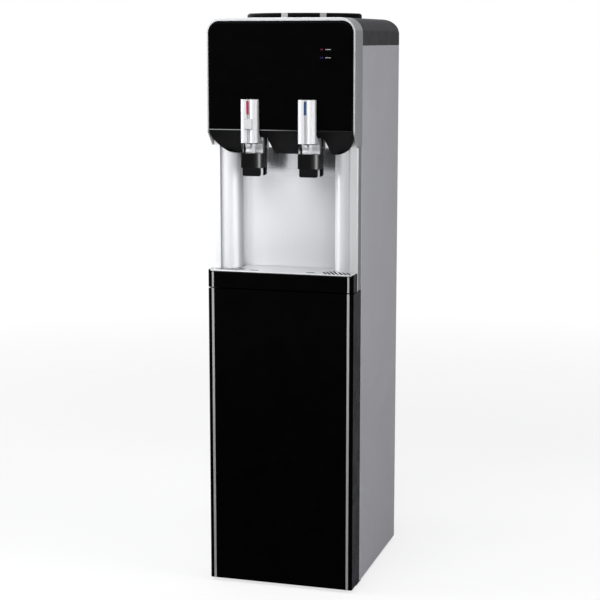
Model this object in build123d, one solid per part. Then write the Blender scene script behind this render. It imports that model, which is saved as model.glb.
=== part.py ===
from build123d import *
from math import cos, radians, sin, sqrt
import os

os.makedirs("parts", exist_ok=True)

# Floor-standing hot and cold water cooler, in millimetres.
# While it is drawn, x runs right, y runs back from the door's front face and z runs up from the floor.
# The finished pieces are shifted so that the origin is under the middle of the whole machine.

# Body
body_width = 295.0
body_depth = 370.0
sheet = 1.0
flange = 13.0
moulding = 3.0
edge_round = 0.8

# Clearances
slip_gap = 0.3
fit_gap = 0.2
running_gap = 0.05
seam = 0.8

# Base
foot_height = 6.0
foot_radius = 14.0
foot_inset = 34.0
pan_height = 30.0
pan_wall = 2.0

# Door
door_height = 593.0
door_depth = 58.0
door_wall = 3.0
door_corner = 3.5
door_floor_gap = 1.0
door_back_gap = 4.0
door_liner_thick = 3.0
door_liner_inset = 1.0
dish_margin = 45.0
dish_corner = 20.0
gasket_width = 10.0
gasket_inset = 9.0
hinge_inset = 6.5
hinge_depth = 46.0
hinge_pin_radius = 4.0
hinge_boss_radius = 6.0
hinge_boss_height = 17.0
hinge_plate = 3.0
hinge_plate_reach = 30.0
grip_height = 96.0
grip_width = 24.0
grip_depth = 13.0
grip_wall = 2.0
grip_drop = 90.0

# Silver inlays on the door and the tray
trim_inset = 10.1
trim_width = 4.6
tray_trim_width = 3.6
trim_depth = 1.0
trim_proud = 0.3

# Storage cabinet behind the door
liner_wall = 2.0

# Dispensing bay
tray_gap = 2.5
tray_height = 30.7
tray_wall = 2.5
tray_floor = 2.0
tray_side_depth = 30.0
tray_side_rim = 2.0
grille_thick = 3.6
grille_skin = 1.2
slot_width = 3.4
slot_pitch = 8.0
slot_count = 7
slot_angle = 28.0
slot_reach = 52.0
slot_fall = 5.0
slot_front = 8.0
slot_side = 9.0
drain_slot_length = 18.0
drain_slot_width = 6.0
drain_slot_depth = 17.0
shelf_thick = 3.0
shelf_back = 130.0
pillar_front = 32.0
pillar_strip_width = 15.8
pillar_step_depth = 43.0
pillar_step = 1.5
pillar_corner = 4.0
pillar_wall = 2.5
pillar_floor = 12.0
column_radius = 24.7
column_inset = 27.8
column_depth = 61.3
splash_thick = 2.0
bay_height = 270.4

# Head
head_top = 1123.1
head_radius = 30.0
head_front = 4.0
rim_ledge = 8.0
rim_thick = 2.0
rim_side = 3.3
panel_height = 205.2
panel_radius = 23.0
panel_thick = 6.0
panel_edge = 4.5
panel_trim_height = 1.5
cover_height = 52.4
visor_drop = 46.7
visor_thick = 3.0
visor_inset = 0.7
visor_corner = 45.5
notch_half = 34.0
notch_top_half = 27.6
notch_rise = 33.0
notch_corner = 3.0
lens_width = 6.0
lens_height = 3.0
lens_inset = 60.7
lens_drop = 53.5
lens_pitch = 15.2
board_thick = 1.6
board_width = 34.0
board_height = 44.0
board_margin = 4.0
standoff_radius = 2.5

# Taps
tap_offset = 57.0
tap_width = 43.0
tap_block_depth = 25.0
tap_block_height = 28.0
tap_block_drop = 41.2
tap_corner = 3.0
tap_recess = 2.6
tap_recess_front = 15.0
tap_skirt_width = 35.6
tap_skirt_depth = 6.0
tap_skirt_height = 15.7
spout_wall = 2.0
spout_rise = 3.0
tap_leg_depth = 8.0
tap_leg_width = 5.5
tap_leg_corner = 4.5
cheek_thick = 4.0
cheek_rise = 31.0
cheek_front = 20.0
cheek_lean = 4.0
pipe_radius = 7.0
pipe_depth = 41.0
pipe_bore = 3.5
barb_radius = 5.0
barb_height = 11.0
nut_radius = 12.0
nut_height = 6.0
pivot_depth = 27.0
pivot_rise = 12.0
pivot_pin_radius = 2.5
knuckle_radius = 6.5
lever_width = 34.2
lever_front = 16.5
lever_back = 3.0
lever_height = 82.6
lever_rise = 20.8
lever_shoulder = 10.0
lever_groove = 3.0
lever_groove_depth = 3.2
web_drop = 3.0
web_bend_depth = 12.0
web_bend_rise = 5.5
hub_front = 14.0
hub_lip_front = 19.0
hub_lip_step = 2.0
hub_lip_height = 4.4
hub_gap = 0.3
boss_radius = 3.4
boss_offset = 5.2
boss_rise = 16.5
boss_front = 0.5
nose_lead = 3.3
strip_width = 4.0
strip_height = 25.0
strip_depth = 2.0
strip_drop = 3.2
button_width = 15.5
button_height = 18.6
button_corner = 2.0
button_proud = 2.5
button_travel = 2.5
button_depth = 8.3
button_drop = 37.5
stem_depth = 12.0
stem_radius = 3.0
stem_cap_radius = 6.0
stem_cap_thick = 2.2
stem_travel = 4.0
well_floor = 5.0
poppet_radius = 6.5
poppet_thick = 1.4
nozzle_bore = 8.0
chamber_bore = 5.0

# Bottle seat
seat_depth = 171.3
seat_radius = 113.7
seat_rise = 9.6
seat_wall = 3.0
seat_lip = 9.7
seat_cone_drop = 35.0
seat_cone_radius = 56.0
throat_radius = 31.0
throat_length = 39.0
throat_shoulder = 8.0
probe_radius = 11.0
probe_height = 48.0
probe_bore = 5.0
clip_arc = 6.5
clip_thick = 1.0
clip_angles = (-3.5, 34.5, 176.5, 214.5)

# Water tanks and cooling
cold_tank_radius = 75.0
cold_tank_height = 118.0
tank_wall = 1.5
coil_thick = 4.0
coil_height = 65.0
insulation_thick = 25.0
insulation_floor = 22.0
tank_shelf_thick = 2.0
tank_shelf_front = 92.0
tank_shelf_clear = 39.0
hot_tank_radius = 48.0
hot_tank_height = 158.0
hot_tank_x = -55.0
hot_tank_depth = 210.0
hot_tank_dome = 15.0
heater_drop = 220.2
band_thick = 2.5
band_height = 28.0
thermostat_radius = 7.0
thermostat_height = 9.0
hose_wall = 2.4
hose_sides = 10
hose_bend = 16.0
hose_rise = 34.0
hose_fall = 20.0
hose_run = 62.0
hose_inset = 24.5
hose_lead = 50.0
line_radius = 3.0
line_sides = 8
line_offset = 25.0
line_socket = 8.0
line_rise = 30.0
line_clear = 25.0
delivery_rise = 20.0
delivery_step = 24.0
delivery_inset = 17.5
compressor_radius = 58.0
compressor_height = 146.0
compressor_gap = 7.0
compressor_plate = 3.0
compressor_plate_width = 128.0
compressor_plate_depth = 112.0
compressor_plate_corner = 14.0
relay_width = 16.0
relay_depth = 40.0
relay_height = 45.0
relay_rise = 40.0
mount_height = 12.0
mount_radius = 10.0
mount_inset = 14.0
condenser_passes = 10
condenser_inset = 35.5
condenser_bottom = 150.0
condenser_clear = 35.2
condenser_tube = 2.5
condenser_ends = 10.0
wire_thick = 1.6
wire_count = 17
rail_width = 12.0
rail_gap = 2.0
bar_height = 8.0

# Back of the machine
louvre_rows = 9
louvre_pitch = 14.0
louvre_length = 90.0
louvre_width = 4.0
louvre_gap = 27.0
louvre_drop = 60.0
switch_width = 13.0
switch_height = 21.0
switch_pitch = 30.0
switch_x = 70.0
switch_drop = 80.0
switch_tilt = 8.0
switch_pivot_depth = 6.0
switch_pin_radius = 1.5
switch_crown = 3.5
switch_root = 4.0
bezel_depth = 16.0
bezel_lip = 1.0
socket_width = 27.0
socket_height = 20.0
socket_corner = 4.0
socket_depth = 18.0
socket_shell = 22.0
socket_lip = 2.0
blade_thick = 2.0
blade_height = 6.0
blade_length = 15.0
blade_pitch = 7.0
drain_radius = 5.0
drain_cap_radius = 9.0
drain_cap_length = 16.0
drain_drop = 30.0
drain_bend = 18.0
drain_clear = 17.0

# Places worked out from the sizes above
half = body_width / 2
inner_half = half - sheet
body_front = door_depth + door_back_gap
pan_top = foot_height + pan_height
door_bottom = foot_height + door_floor_gap
door_top = door_bottom + door_height
hinge_x = half - hinge_inset
trim_offset = half - trim_inset
column_offset = half - column_inset
panel_half = half - rim_side
visor_half = panel_half - visor_inset
lens_offset = panel_half - lens_inset
tray_bottom = door_top + tray_gap
tray_top = tray_bottom + tray_height
deck_top = tray_top + grille_thick
shelf_top = tray_bottom - slip_gap
shelf_bottom = shelf_top - shelf_thick
strip_inner = half - pillar_strip_width
splash_front = column_depth + column_radius
splash_half = half - flange - sheet
ceiling_bottom = deck_top + bay_height
ceiling_top = ceiling_bottom + moulding
panel_bottom = ceiling_top + panel_trim_height
panel_top = panel_bottom + panel_height
cover_bottom = head_top - cover_height
visor_bottom = ceiling_top - visor_drop
tap_block_top = ceiling_bottom - tap_block_drop
tap_block_bottom = tap_block_top - tap_block_height
tap_bottom = tap_block_bottom - tap_skirt_height
tap_back = tap_block_depth + tap_leg_depth
pivot_z = tap_block_top + pivot_rise
lever_bottom = tap_block_top + lever_rise
lever_top = lever_bottom + lever_height
lever_half = lever_width / 2
hub_bottom = tap_block_top + hub_gap
button_z = lever_top - button_drop - button_height / 2
strip_top = lever_top - strip_drop
seat_top = head_top + seat_rise
seat_flange = head_top + slip_gap
throat_top = seat_top - seat_cone_drop - throat_shoulder
throat_floor = throat_top - throat_length
seat_hole = seat_radius - seat_lip - seat_wall / 2
tank_shelf_bottom = ceiling_top
tank_shelf_top = tank_shelf_bottom + tank_shelf_thick
cold_tank_bottom = tank_shelf_top + insulation_floor
cold_tank_top = cold_tank_bottom + cold_tank_height
coil_outer = cold_tank_radius + fit_gap + coil_thick
insulation_outer = coil_outer + insulation_thick
heater_rise = tank_shelf_bottom - heater_drop
heater_shelf_top = heater_rise + tank_shelf_thick
hot_tank_top = heater_shelf_top + hot_tank_height
outlet_z = cold_tank_bottom + 2 * barb_radius
back_face = body_depth - sheet
tank_shelf_back = back_face - tank_shelf_clear
condenser_half = half - condenser_inset
condenser_plane = back_face - 2 * wire_thick - condenser_tube
condenser_pitch = (shelf_bottom - condenser_clear - condenser_bottom) / (condenser_passes - 1)
condenser_top = condenser_bottom + (condenser_passes - 1) * condenser_pitch
compressor_low = foot_height + pan_wall + mount_height
compressor_top = compressor_low + compressor_height
compressor_depth = condenser_plane - condenser_tube - compressor_gap + sheet - compressor_radius
liner_back = compressor_depth - compressor_radius - compressor_gap
switch_z = cover_bottom - switch_drop
switch_pivot = back_face - switch_pivot_depth
drain_z = heater_rise - drain_drop
drain_end = back_face - drain_clear
tap_outlet = ceiling_top + nut_height
total_front = -lever_front - button_proud
middle_depth = (body_depth + total_front) / 2


def block(x0, x1, y0, y1, z0, z1):
    """A box between two corners."""
    centre = ((x0 + x1) / 2, (y0 + y1) / 2, (z0 + z1) / 2)
    return Pos(*centre) * Box(x1 - x0, y1 - y0, z1 - z0)


def from_front(sketch, y0, y1):
    """A sketch drawn as seen from the front, extruded from one depth to another."""
    return extrude(Plane.XZ.offset(-y0) * sketch, -(y1 - y0))


def from_side(sketch, x0, x1):
    """A sketch drawn with depth to the right and height up, extruded across the machine."""
    return extrude(Plane.YZ.offset(x0) * sketch, x1 - x0)


def from_above(sketch, z0, z1):
    """A sketch drawn in plan, extruded from one height to another."""
    return extrude(Plane.XY.offset(z0) * sketch, z1 - z0)


def post(x, y, z0, z1, radius):
    """An upright cylinder."""
    return Pos(x, y, (z0 + z1) / 2) * Cylinder(radius, z1 - z0)


def rod_back(x, z, y0, y1, radius):
    """A cylinder that runs from front to back."""
    return from_front(Pos(x, z) * Circle(radius), y0, y1)


def rod_across(y, z, x0, x1, radius):
    """A cylinder that runs across the machine."""
    return from_side(Pos(y, z) * Circle(radius), x0, x1)


def mirrored(shape):
    """The same shape on the other side of the middle."""
    return mirror(shape, about=Plane.YZ)


def pipe(points, bend, sides, outer, inner=0.0):
    """A tube of a few flat sides along straight runs joined by tangent arcs."""
    path = FilletPolyline(*points, radius=bend)
    section = RegularPolygon(outer, sides)
    if inner:
        section -= RegularPolygon(inner, sides, major_radius=False)
    return sweep(Plane(path @ 0, z_dir=path % 0) * section, path)


def face_of(*edges):
    """A flat face inside a closed run of edges."""
    return make_face(Curve() + list(edges))


# Base and cabinet shell

def base_pan():
    outer = block(-inner_half, inner_half, body_front + sheet, back_face, foot_height, pan_top)
    hollow = block(-inner_half + pan_wall, inner_half - pan_wall, body_front + sheet + pan_wall,
                   back_face - pan_wall, foot_height + pan_wall, pan_top + pan_wall)
    return outer - hollow


def foot_places():
    x = half - foot_inset
    return [(sx * x, y) for sx in (-1, 1) for y in (body_front + foot_inset, body_depth - foot_inset)]


def rubber_feet():
    foot = Cylinder(foot_radius, foot_height)
    foot = chamfer(foot.edges().group_by(Axis.Z)[0], foot_height / 4)
    return Compound([Pos(x, y, foot_height / 2) * foot for x, y in foot_places()])


def side_panel():
    skin = block(inner_half, half, body_front, body_depth, foot_height, cover_bottom)
    front = block(half - flange, half, body_front, body_front + sheet, foot_height, cover_bottom)
    rear = block(half - flange, half, back_face, body_depth, foot_height, cover_bottom)
    panel = skin + front + rear
    corners = panel.edges().filter_by(Axis.Z).group_by(Axis.X)[-1]
    return fillet(corners, edge_round)


def rear_panel():
    panel = block(-inner_half, inner_half, back_face - sheet, back_face, shelf_bottom, cover_bottom)
    slot = from_front(Rectangle(louvre_length, louvre_width), back_face - 2 * sheet, body_depth)
    louvre_x = (louvre_length + louvre_gap) / 2
    for row in range(louvre_rows):
        z = switch_z - louvre_drop - row * louvre_pitch
        panel -= Pos(-louvre_x, 0, z) * slot
        panel -= Pos(louvre_x, 0, z) * slot
    for z in switch_rows():
        panel -= block(switch_x - switch_width / 2 - moulding, switch_x + switch_width / 2 + moulding,
                       back_face - 2 * sheet, body_depth, z - switch_height / 2 - moulding,
                       z + switch_height / 2 + moulding)
    panel -= block(-switch_x - socket_width / 2 - moulding, -switch_x + socket_width / 2 + moulding,
                   back_face - 2 * sheet, body_depth, switch_z - socket_height / 2 - moulding,
                   switch_z + socket_height / 2 + moulding)
    panel -= rod_back(hot_tank_x, drain_z, back_face - 2 * sheet, body_depth, 2 * drain_cap_radius)
    return panel


def cabinet_liner():
    wide = half - flange - fit_gap
    outer = block(-wide, wide, body_front, liner_back, pan_top, shelf_bottom)
    hollow = block(-wide + liner_wall, wide - liner_wall, body_front - liner_wall, liner_back - liner_wall,
                   pan_top + liner_wall, shelf_bottom - liner_wall)
    rim = block(-inner_half, inner_half, body_front + sheet, body_front + sheet + liner_wall,
                pan_top, shelf_bottom)
    return outer + rim - hollow


def lower_hinge():
    plate_back = body_front + hinge_plate_reach / 2
    plate = block(hinge_x - 2 * hinge_boss_radius, half - sheet, hinge_depth - hinge_boss_radius, plate_back,
                  foot_height - hinge_plate, foot_height)
    plate = fillet(plate.edges().filter_by(Axis.Z).group_by(Axis.Y)[0], hinge_boss_radius * 0.7)
    pin = post(hinge_x, hinge_depth, foot_height - hinge_plate, door_bottom + hinge_boss_height - 1,
               hinge_pin_radius)
    return plate + pin


def upper_hinge_pin():
    pin = post(hinge_x, hinge_depth, door_top - hinge_boss_height + 1, shelf_top + pillar_floor - 2,
               hinge_pin_radius)
    return chamfer(pin.edges().group_by(Axis.Z)[0], 1.0)


# Door

def trim_bar(x, width, z0, z1):
    return block(x - width / 2, x + width / 2, -trim_proud, trim_depth, z0, z1)


def trim_groove(x, width, z0, z1):
    reach = width / 2 + running_gap
    return block(x - reach, x + reach, -1, trim_depth + running_gap, z0 - 1, z1 + 1)


def grip_centre():
    return door_top - grip_drop - grip_height / 2, door_depth / 2


def grip_pocket(grow, depth):
    z, y = grip_centre()
    outline = RectangleRounded(grip_width + 2 * grow, grip_height + 2 * grow, grip_width / 3 + grow)
    return from_side(Pos(y, z) * outline, -half, -half + depth)


def door_shell():
    outer = block(-half, half, 0, door_depth, door_bottom, door_top)
    outer = fillet(outer.edges().filter_by(Axis.Z).group_by(Axis.Y)[0], door_corner)
    hollow = block(-half + door_wall, half - door_wall, door_wall, door_depth + 1,
                   door_bottom + door_wall, door_top - door_wall)
    shell = outer - hollow
    boss_low = post(hinge_x, hinge_depth, door_bottom, door_bottom + hinge_boss_height, hinge_boss_radius)
    boss_high = post(hinge_x, hinge_depth, door_top - hinge_boss_height, door_top, hinge_boss_radius)
    shell = shell + boss_low + boss_high
    shell -= post(hinge_x, hinge_depth, door_bottom - 1, door_top + 1, hinge_pin_radius + running_gap)
    for x in (-trim_offset, trim_offset):
        shell -= trim_groove(x, trim_width, door_bottom, door_top)
    return shell - grip_pocket(grip_wall + running_gap, door_wall + 1)


def door_grip():
    cup = grip_pocket(grip_wall, grip_depth + grip_wall)
    cup = chamfer(cup.edges().group_by(Axis.X)[-1], grip_wall)
    return cup - grip_pocket(0, grip_depth)


def door_trims():
    return Compound([trim_bar(x, trim_width, door_bottom, door_top) for x in (-trim_offset, trim_offset)])


def liner_span():
    wide = half - door_wall - running_gap
    back = door_depth - door_liner_inset
    return wide, back


def door_liner():
    wide, back = liner_span()
    low = door_bottom + door_wall + running_gap
    high = door_top - door_wall - running_gap
    plate = block(-wide, wide, back - door_liner_thick, back, low, high)
    outline = RectangleRounded(body_width - 2 * dish_margin, door_height - 2 * dish_margin, dish_corner)
    return plate - from_front(Pos(0, (low + high) / 2) * outline, back - door_liner_thick / 2, back + 1)


def door_gasket():
    wide = half - gasket_inset
    low = door_bottom + gasket_inset
    high = door_top - gasket_inset
    middle = Pos(0, (low + high) / 2)
    ring = middle * RectangleRounded(2 * wide, high - low, 4)
    ring -= middle * RectangleRounded(2 * (wide - gasket_width), high - low - 2 * gasket_width, 2)
    back = liner_span()[1]
    return from_front(ring, back, body_front - slip_gap)


# Dispensing bay

def tray_shelf():
    plate = block(-inner_half, inner_half, body_front + sheet, shelf_back, shelf_bottom, shelf_top)
    lip = block(-inner_half, inner_half, shelf_back - shelf_thick, shelf_back, shelf_top, shelf_top + 4 * shelf_thick)
    return plate + lip


def pillar_outline(grow=0.0):
    """The right pillar in plan: a flat front strip beside a round column."""
    radius = column_radius + grow
    inner = strip_inner - grow
    join = column_depth - sqrt(radius ** 2 - (inner - column_offset) ** 2)
    stepped = half - pillar_step
    start = (column_offset, column_depth + radius)
    left = (column_offset - radius, column_depth)
    column = ThreePointArc(start, left, (inner, join))
    body = Polyline((inner, join), (inner, pillar_front), (half, pillar_front), (half, pillar_step_depth),
                    (stepped, pillar_step_depth), (stepped, body_front), (splash_half, body_front),
                    (splash_half, column_depth + radius), start)
    return face_of(column, body)


def pillar():
    solid = from_above(pillar_outline(), shelf_top, ceiling_bottom)
    front_edge = solid.edges().filter_by(Axis.Z).sort_by(
        lambda e: (e.center().X - half) ** 2 + (e.center().Y - pillar_front) ** 2)[0]
    solid = fillet(front_edge, pillar_corner)
    hollow = offset(pillar_outline(), -pillar_wall)
    solid -= from_above(hollow, shelf_top + pillar_floor, ceiling_bottom + 1)
    side_wall = block(half - moulding - fit_gap, half + 1, 0, body_front + 1,
                      frame_foot() - seam, ceiling_bottom + 1)
    return solid - side_wall - visor_room()


def left_pillar():
    return mirrored(pillar())


def right_pillar():
    return pillar() - post(hinge_x, hinge_depth, shelf_top - 1, shelf_top + pillar_floor - 2 + running_gap,
                           hinge_pin_radius + running_gap)


def splash_panel():
    return block(-splash_half, splash_half, splash_front, splash_front + splash_thick, shelf_top, ceiling_bottom)


def deck_outline(gap):
    """The tray's plan: a full-width front that narrows round the columns and runs back between them."""
    radius = column_radius + gap
    inner = strip_inner - gap
    join = column_depth - sqrt(radius ** 2 - (inner - column_offset) ** 2)
    left = column_offset - radius
    back = splash_front - gap
    sweep_point = (column_offset - radius * sin(radians(50)), column_depth - radius * cos(radians(50)))
    right_side = Polyline((0, 0), (half, 0), (half, tray_side_depth), (inner, tray_side_depth), (inner, join))
    column = ThreePointArc((inner, join), sweep_point, (left, column_depth))
    tail = Polyline((left, column_depth), (left, back), (0, back))
    middle = Line((0, back), (0, 0))
    right = face_of(right_side, column, tail, middle)
    return right + mirrored(right)


def tray_solid(z0, z1):
    solid = from_above(deck_outline(slip_gap + seam), z0, z1)
    corners = [e for e in solid.edges().filter_by(Axis.Z)
               if abs(abs(e.center().X) - half) < 0.1 and e.center().Y < 1]
    return fillet(corners, door_corner)


def deck_span(gap):
    """The room for the deck between the tray's side rims."""
    wide = half - tray_side_rim + gap
    return block(-wide, wide, -1, body_depth, tray_top, deck_top + 1)


def drip_tray():
    solid = tray_solid(tray_bottom, deck_top) - deck_span(fit_gap)
    hollow = offset(deck_outline(slip_gap + seam), -tray_wall)
    solid -= from_above(hollow, tray_bottom + tray_floor, deck_top + 1)
    for x in (-trim_offset, trim_offset):
        solid -= trim_groove(x, tray_trim_width, tray_bottom, tray_top)
    return solid


def tray_trims():
    return Compound([trim_bar(x, tray_trim_width, tray_bottom, tray_top) for x in (-trim_offset, trim_offset)])


def slot_fan():
    """Slanting drain slots at the right-hand end, shorter one by one towards the middle."""
    slots = []
    slant = radians(slot_angle)
    for number in range(slot_count):
        reach = slot_reach - number * slot_fall
        x = half - slot_side - number * slot_pitch - reach * sin(slant) / 2
        y = slot_front + reach * cos(slant) / 2
        slots.append(Pos(x, y) * Rot(0, 0, 90 + slot_angle) * SlotOverall(reach, slot_width))
    return slots


def drip_grille():
    """Thin deck with a turned-down rim, slotted at both ends and under the taps."""
    outline = deck_outline(slip_gap + seam)
    deck = tray_solid(tray_top, deck_top) & deck_span(0)
    deck -= from_above(offset(outline, -2 * tray_wall), tray_top - 1, deck_top - grille_skin)
    room = offset(outline, -3 * tray_wall)
    for slot in slot_fan():
        cut = from_above(slot & room, tray_top - 1, deck_top + 1)
        deck = deck - cut - mirrored(cut)
    for x in (-tap_offset, tap_offset):
        drain = Pos(x, drain_slot_depth) * SlotOverall(drain_slot_length, drain_slot_width)
        deck -= from_above(drain, tray_top - 1, deck_top + 1)
    front_top = [e for e in deck.edges().group_by(Axis.Z)[-1] if e.center().Y < 0.1 and e.length > half]
    return chamfer(front_top, edge_round)


# Head

def frame_foot():
    """Height where the head frame's slanted front edge reaches the pillars' front."""
    return ceiling_bottom - (pillar_front - head_front)


def head_arch(inset):
    """The head's outline from the front, open at the bottom, drawn inwards by a distance."""
    wide = half - inset
    top = head_top - inset
    bottom = frame_foot()
    outline = Pos(0, (top + bottom) / 2) * Rectangle(2 * wide, top - bottom)
    return fillet(outline.vertices().group_by(Axis.Y)[-1], head_radius - inset)


def panel_outline(grow):
    wide = panel_half + grow
    top = panel_top + grow
    outline = Pos(0, (top + panel_bottom - grow) / 2) * Rectangle(2 * wide, top - panel_bottom + 2 * grow)
    return fillet(outline.vertices().group_by(Axis.Y)[-1], panel_radius + grow)


def head_frame():
    walls = from_front(head_arch(0) - head_arch(moulding), head_front, body_front)
    rim_area = head_arch(0) - Pos(0, ceiling_bottom) * Rectangle(2 * half + 2, 2 * (ceiling_bottom - frame_foot()))
    tall = panel_bottom - ceiling_bottom + panel_height
    drop = Pos(0, ceiling_bottom + tall / 4) * Rectangle(2 * (panel_half + fit_gap), tall / 2 + 2)
    rim = from_front(rim_area - panel_outline(fit_gap) - drop, head_front, panel_thick)
    ledge_drop = Pos(0, ceiling_bottom + tall / 4) * Rectangle(2 * (panel_half - rim_ledge), tall / 2 + 2)
    ledge = from_front(rim_area - panel_outline(-rim_ledge) - ledge_drop, panel_thick, panel_thick + rim_thick)
    keep_above = block(-half, half, 0, body_front, panel_bottom, head_top + 1)
    frame = walls + (rim & keep_above) + (ledge & keep_above)
    slant = make_face(Polyline((0, ceiling_bottom), (head_front, ceiling_bottom), (pillar_front, frame_foot()),
                               (pillar_front, frame_foot() - 1), (0, frame_foot() - 1), (0, ceiling_bottom)))
    frame -= from_side(slant, -half - 1, half + 1)
    front_edges = [e for e in frame.edges().filter_by(GeomType.LINE).filter_by(Axis.Z)
                   if abs(e.center().Y - head_front) < 0.1 and abs(abs(e.center().X) - half) < 0.1]
    return fillet(front_edges, edge_round)


def lens_rows():
    top = panel_top - lens_drop
    return {"hot": top, "cold": top - lens_pitch}


def lens_cut(z, grow):
    outline = RectangleRounded(lens_width + 2 * grow, lens_height + 2 * grow, lens_height / 3)
    return Pos(lens_offset, z) * outline


def front_panel():
    panel = from_front(panel_outline(0), 0, panel_thick)
    front = [e for e in panel.edges().group_by(Axis.Y)[0] if e.center().Z > panel_bottom + 1]
    panel = fillet(front, panel_edge)
    for z in lens_rows().values():
        panel -= from_front(lens_cut(z, running_gap), -1, panel_thick + 1)
    return panel


def indicator(kind):
    z = lens_rows()[kind]
    lens = from_front(lens_cut(z, 0), -trim_proud, panel_thick)
    lamp = rod_back(lens_offset, z, panel_thick, panel_thick + rim_thick, lens_height)
    return lens + lamp


def indicator_board():
    rows = lens_rows()
    middle = (rows["hot"] + rows["cold"]) / 2
    front = panel_thick + rim_thick
    board = from_front(Pos(lens_offset, middle) * Rectangle(board_width, board_height), front, front + board_thick)
    reach_x = board_width / 2 - board_margin
    reach_z = board_height / 2 - board_margin
    standoffs = [rod_back(lens_offset + x, middle + z, panel_thick, front, standoff_radius)
                 for x in (-reach_x, reach_x) for z in (-reach_z, reach_z)]
    return Compound([board] + standoffs)


def panel_trim():
    return block(-panel_half, panel_half, -trim_proud, panel_thick, ceiling_top, panel_bottom)


def visor_face(grow=0.0):
    """The visor from the front: straight in the middle, with wide rounded lower corners."""
    wide = visor_half + grow
    low = visor_bottom - grow
    outline = Pos(0, (low + ceiling_top) / 2) * Rectangle(2 * wide, ceiling_top - low)
    return fillet(outline.vertices().group_by(Axis.Y)[0], visor_corner)


def visor_room():
    """The space in front of the visor's back face, which the pillars leave free."""
    slope = sqrt(2) * visor_thick + slip_gap
    low = visor_bottom - visor_drop
    side = make_face(Polyline((-1, ceiling_top + 1), (slope - 1, ceiling_top + 1), (2 * visor_drop + slope, low),
                              (-1, low), (-1, ceiling_top + 1)))
    return from_side(side, -half, half) & from_front(visor_face(slip_gap), -2, body_depth)


def visor():
    slope = sqrt(2) * visor_thick
    apron = make_face(Polyline((0, ceiling_top), (visor_drop, visor_bottom), (visor_drop + slope, visor_bottom),
                               (slope, ceiling_top), (0, ceiling_top)))
    apron = from_side(apron, -visor_half, visor_half)
    apron &= from_front(visor_face(), -1, body_front + visor_drop)
    notch = make_face(Polyline((-notch_half, -1), (notch_half, -1), (notch_top_half, notch_rise),
                               (-notch_top_half, notch_rise), (-notch_half, -1)))
    notch = fillet(notch.vertices().group_by(Axis.Y)[-1], notch_corner)
    for x in (-tap_offset, tap_offset):
        apron -= from_front(Pos(x, visor_bottom) * notch, -1, body_front)
    wide = half - moulding - fit_gap
    ceiling = block(-wide, wide, head_front + moulding, body_front - fit_gap, ceiling_bottom, ceiling_top)
    ceiling += block(-splash_half, splash_half, body_front - 1, splash_front, ceiling_bottom, ceiling_top)
    hood = apron + ceiling
    for x in (-tap_offset, tap_offset):
        hood -= post(x, pipe_depth, ceiling_bottom - 1, ceiling_top + 1, pipe_radius + running_gap)
    return hood


def top_cover():
    bottom = cover_bottom
    shape = block(-half, half, body_front, body_depth, bottom, head_top)
    top_edges = [e for e in shape.edges().group_by(Axis.Z)[-1] if e.center().Y > body_front + 1]
    shape = fillet(top_edges, head_radius)
    inside = block(-half + moulding, half - moulding, body_front - 1, body_depth - moulding,
                   bottom - 1, head_top - moulding)
    inner_edges = [e for e in inside.edges().group_by(Axis.Z)[-1] if e.center().Y > body_front]
    inside = fillet(inner_edges, head_radius - moulding)
    cover = shape - inside
    return cover - post(0, seat_depth, bottom, head_top + 1, seat_hole)


# Bottle seat

def bottle_seat():
    cone_z = seat_top - seat_cone_drop
    rim = seat_radius - seat_lip
    drop = seat_wall * 1.25
    floor = throat_floor - seat_wall
    probe_top = throat_floor + probe_height
    outline = Polyline(
        (probe_bore, floor), (throat_radius + seat_wall, floor), (throat_radius + seat_wall, throat_top - seat_wall),
        (seat_cone_radius, cone_z - drop), (seat_hole - fit_gap - seat_wall, seat_flange - seat_wall),
        (seat_hole - fit_gap - seat_wall, seat_flange), (seat_radius, seat_flange),
        (seat_radius, seat_top - seat_wall), (seat_radius - seat_wall, seat_top), (rim, seat_top),
        (seat_cone_radius, cone_z), (throat_radius, throat_top), (throat_radius, throat_floor),
        (probe_radius, throat_floor), (probe_radius, probe_top - probe_radius / 2), (probe_bore + 1, probe_top),
        (probe_bore, probe_top), (probe_bore, floor))
    seat = revolve(Plane.XZ * make_face(outline), Axis.Z)
    port = rod_across(0, throat_floor + probe_height / 2, -probe_radius - 1, probe_radius + 1, probe_bore / 2)
    return Pos(0, seat_depth, 0) * (seat - port)


def seat_clips():
    section = Pos(seat_radius + running_gap + clip_thick / 2, (seat_flange + seat_top) / 2) * Rectangle(
        clip_thick, seat_top - seat_flange)
    clip = revolve(Plane.XZ * section, Axis.Z, clip_arc)
    return Compound([Pos(0, seat_depth, 0) * Rot(0, 0, angle - 90 - clip_arc / 2) * clip for angle in clip_angles])


# Taps

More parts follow.
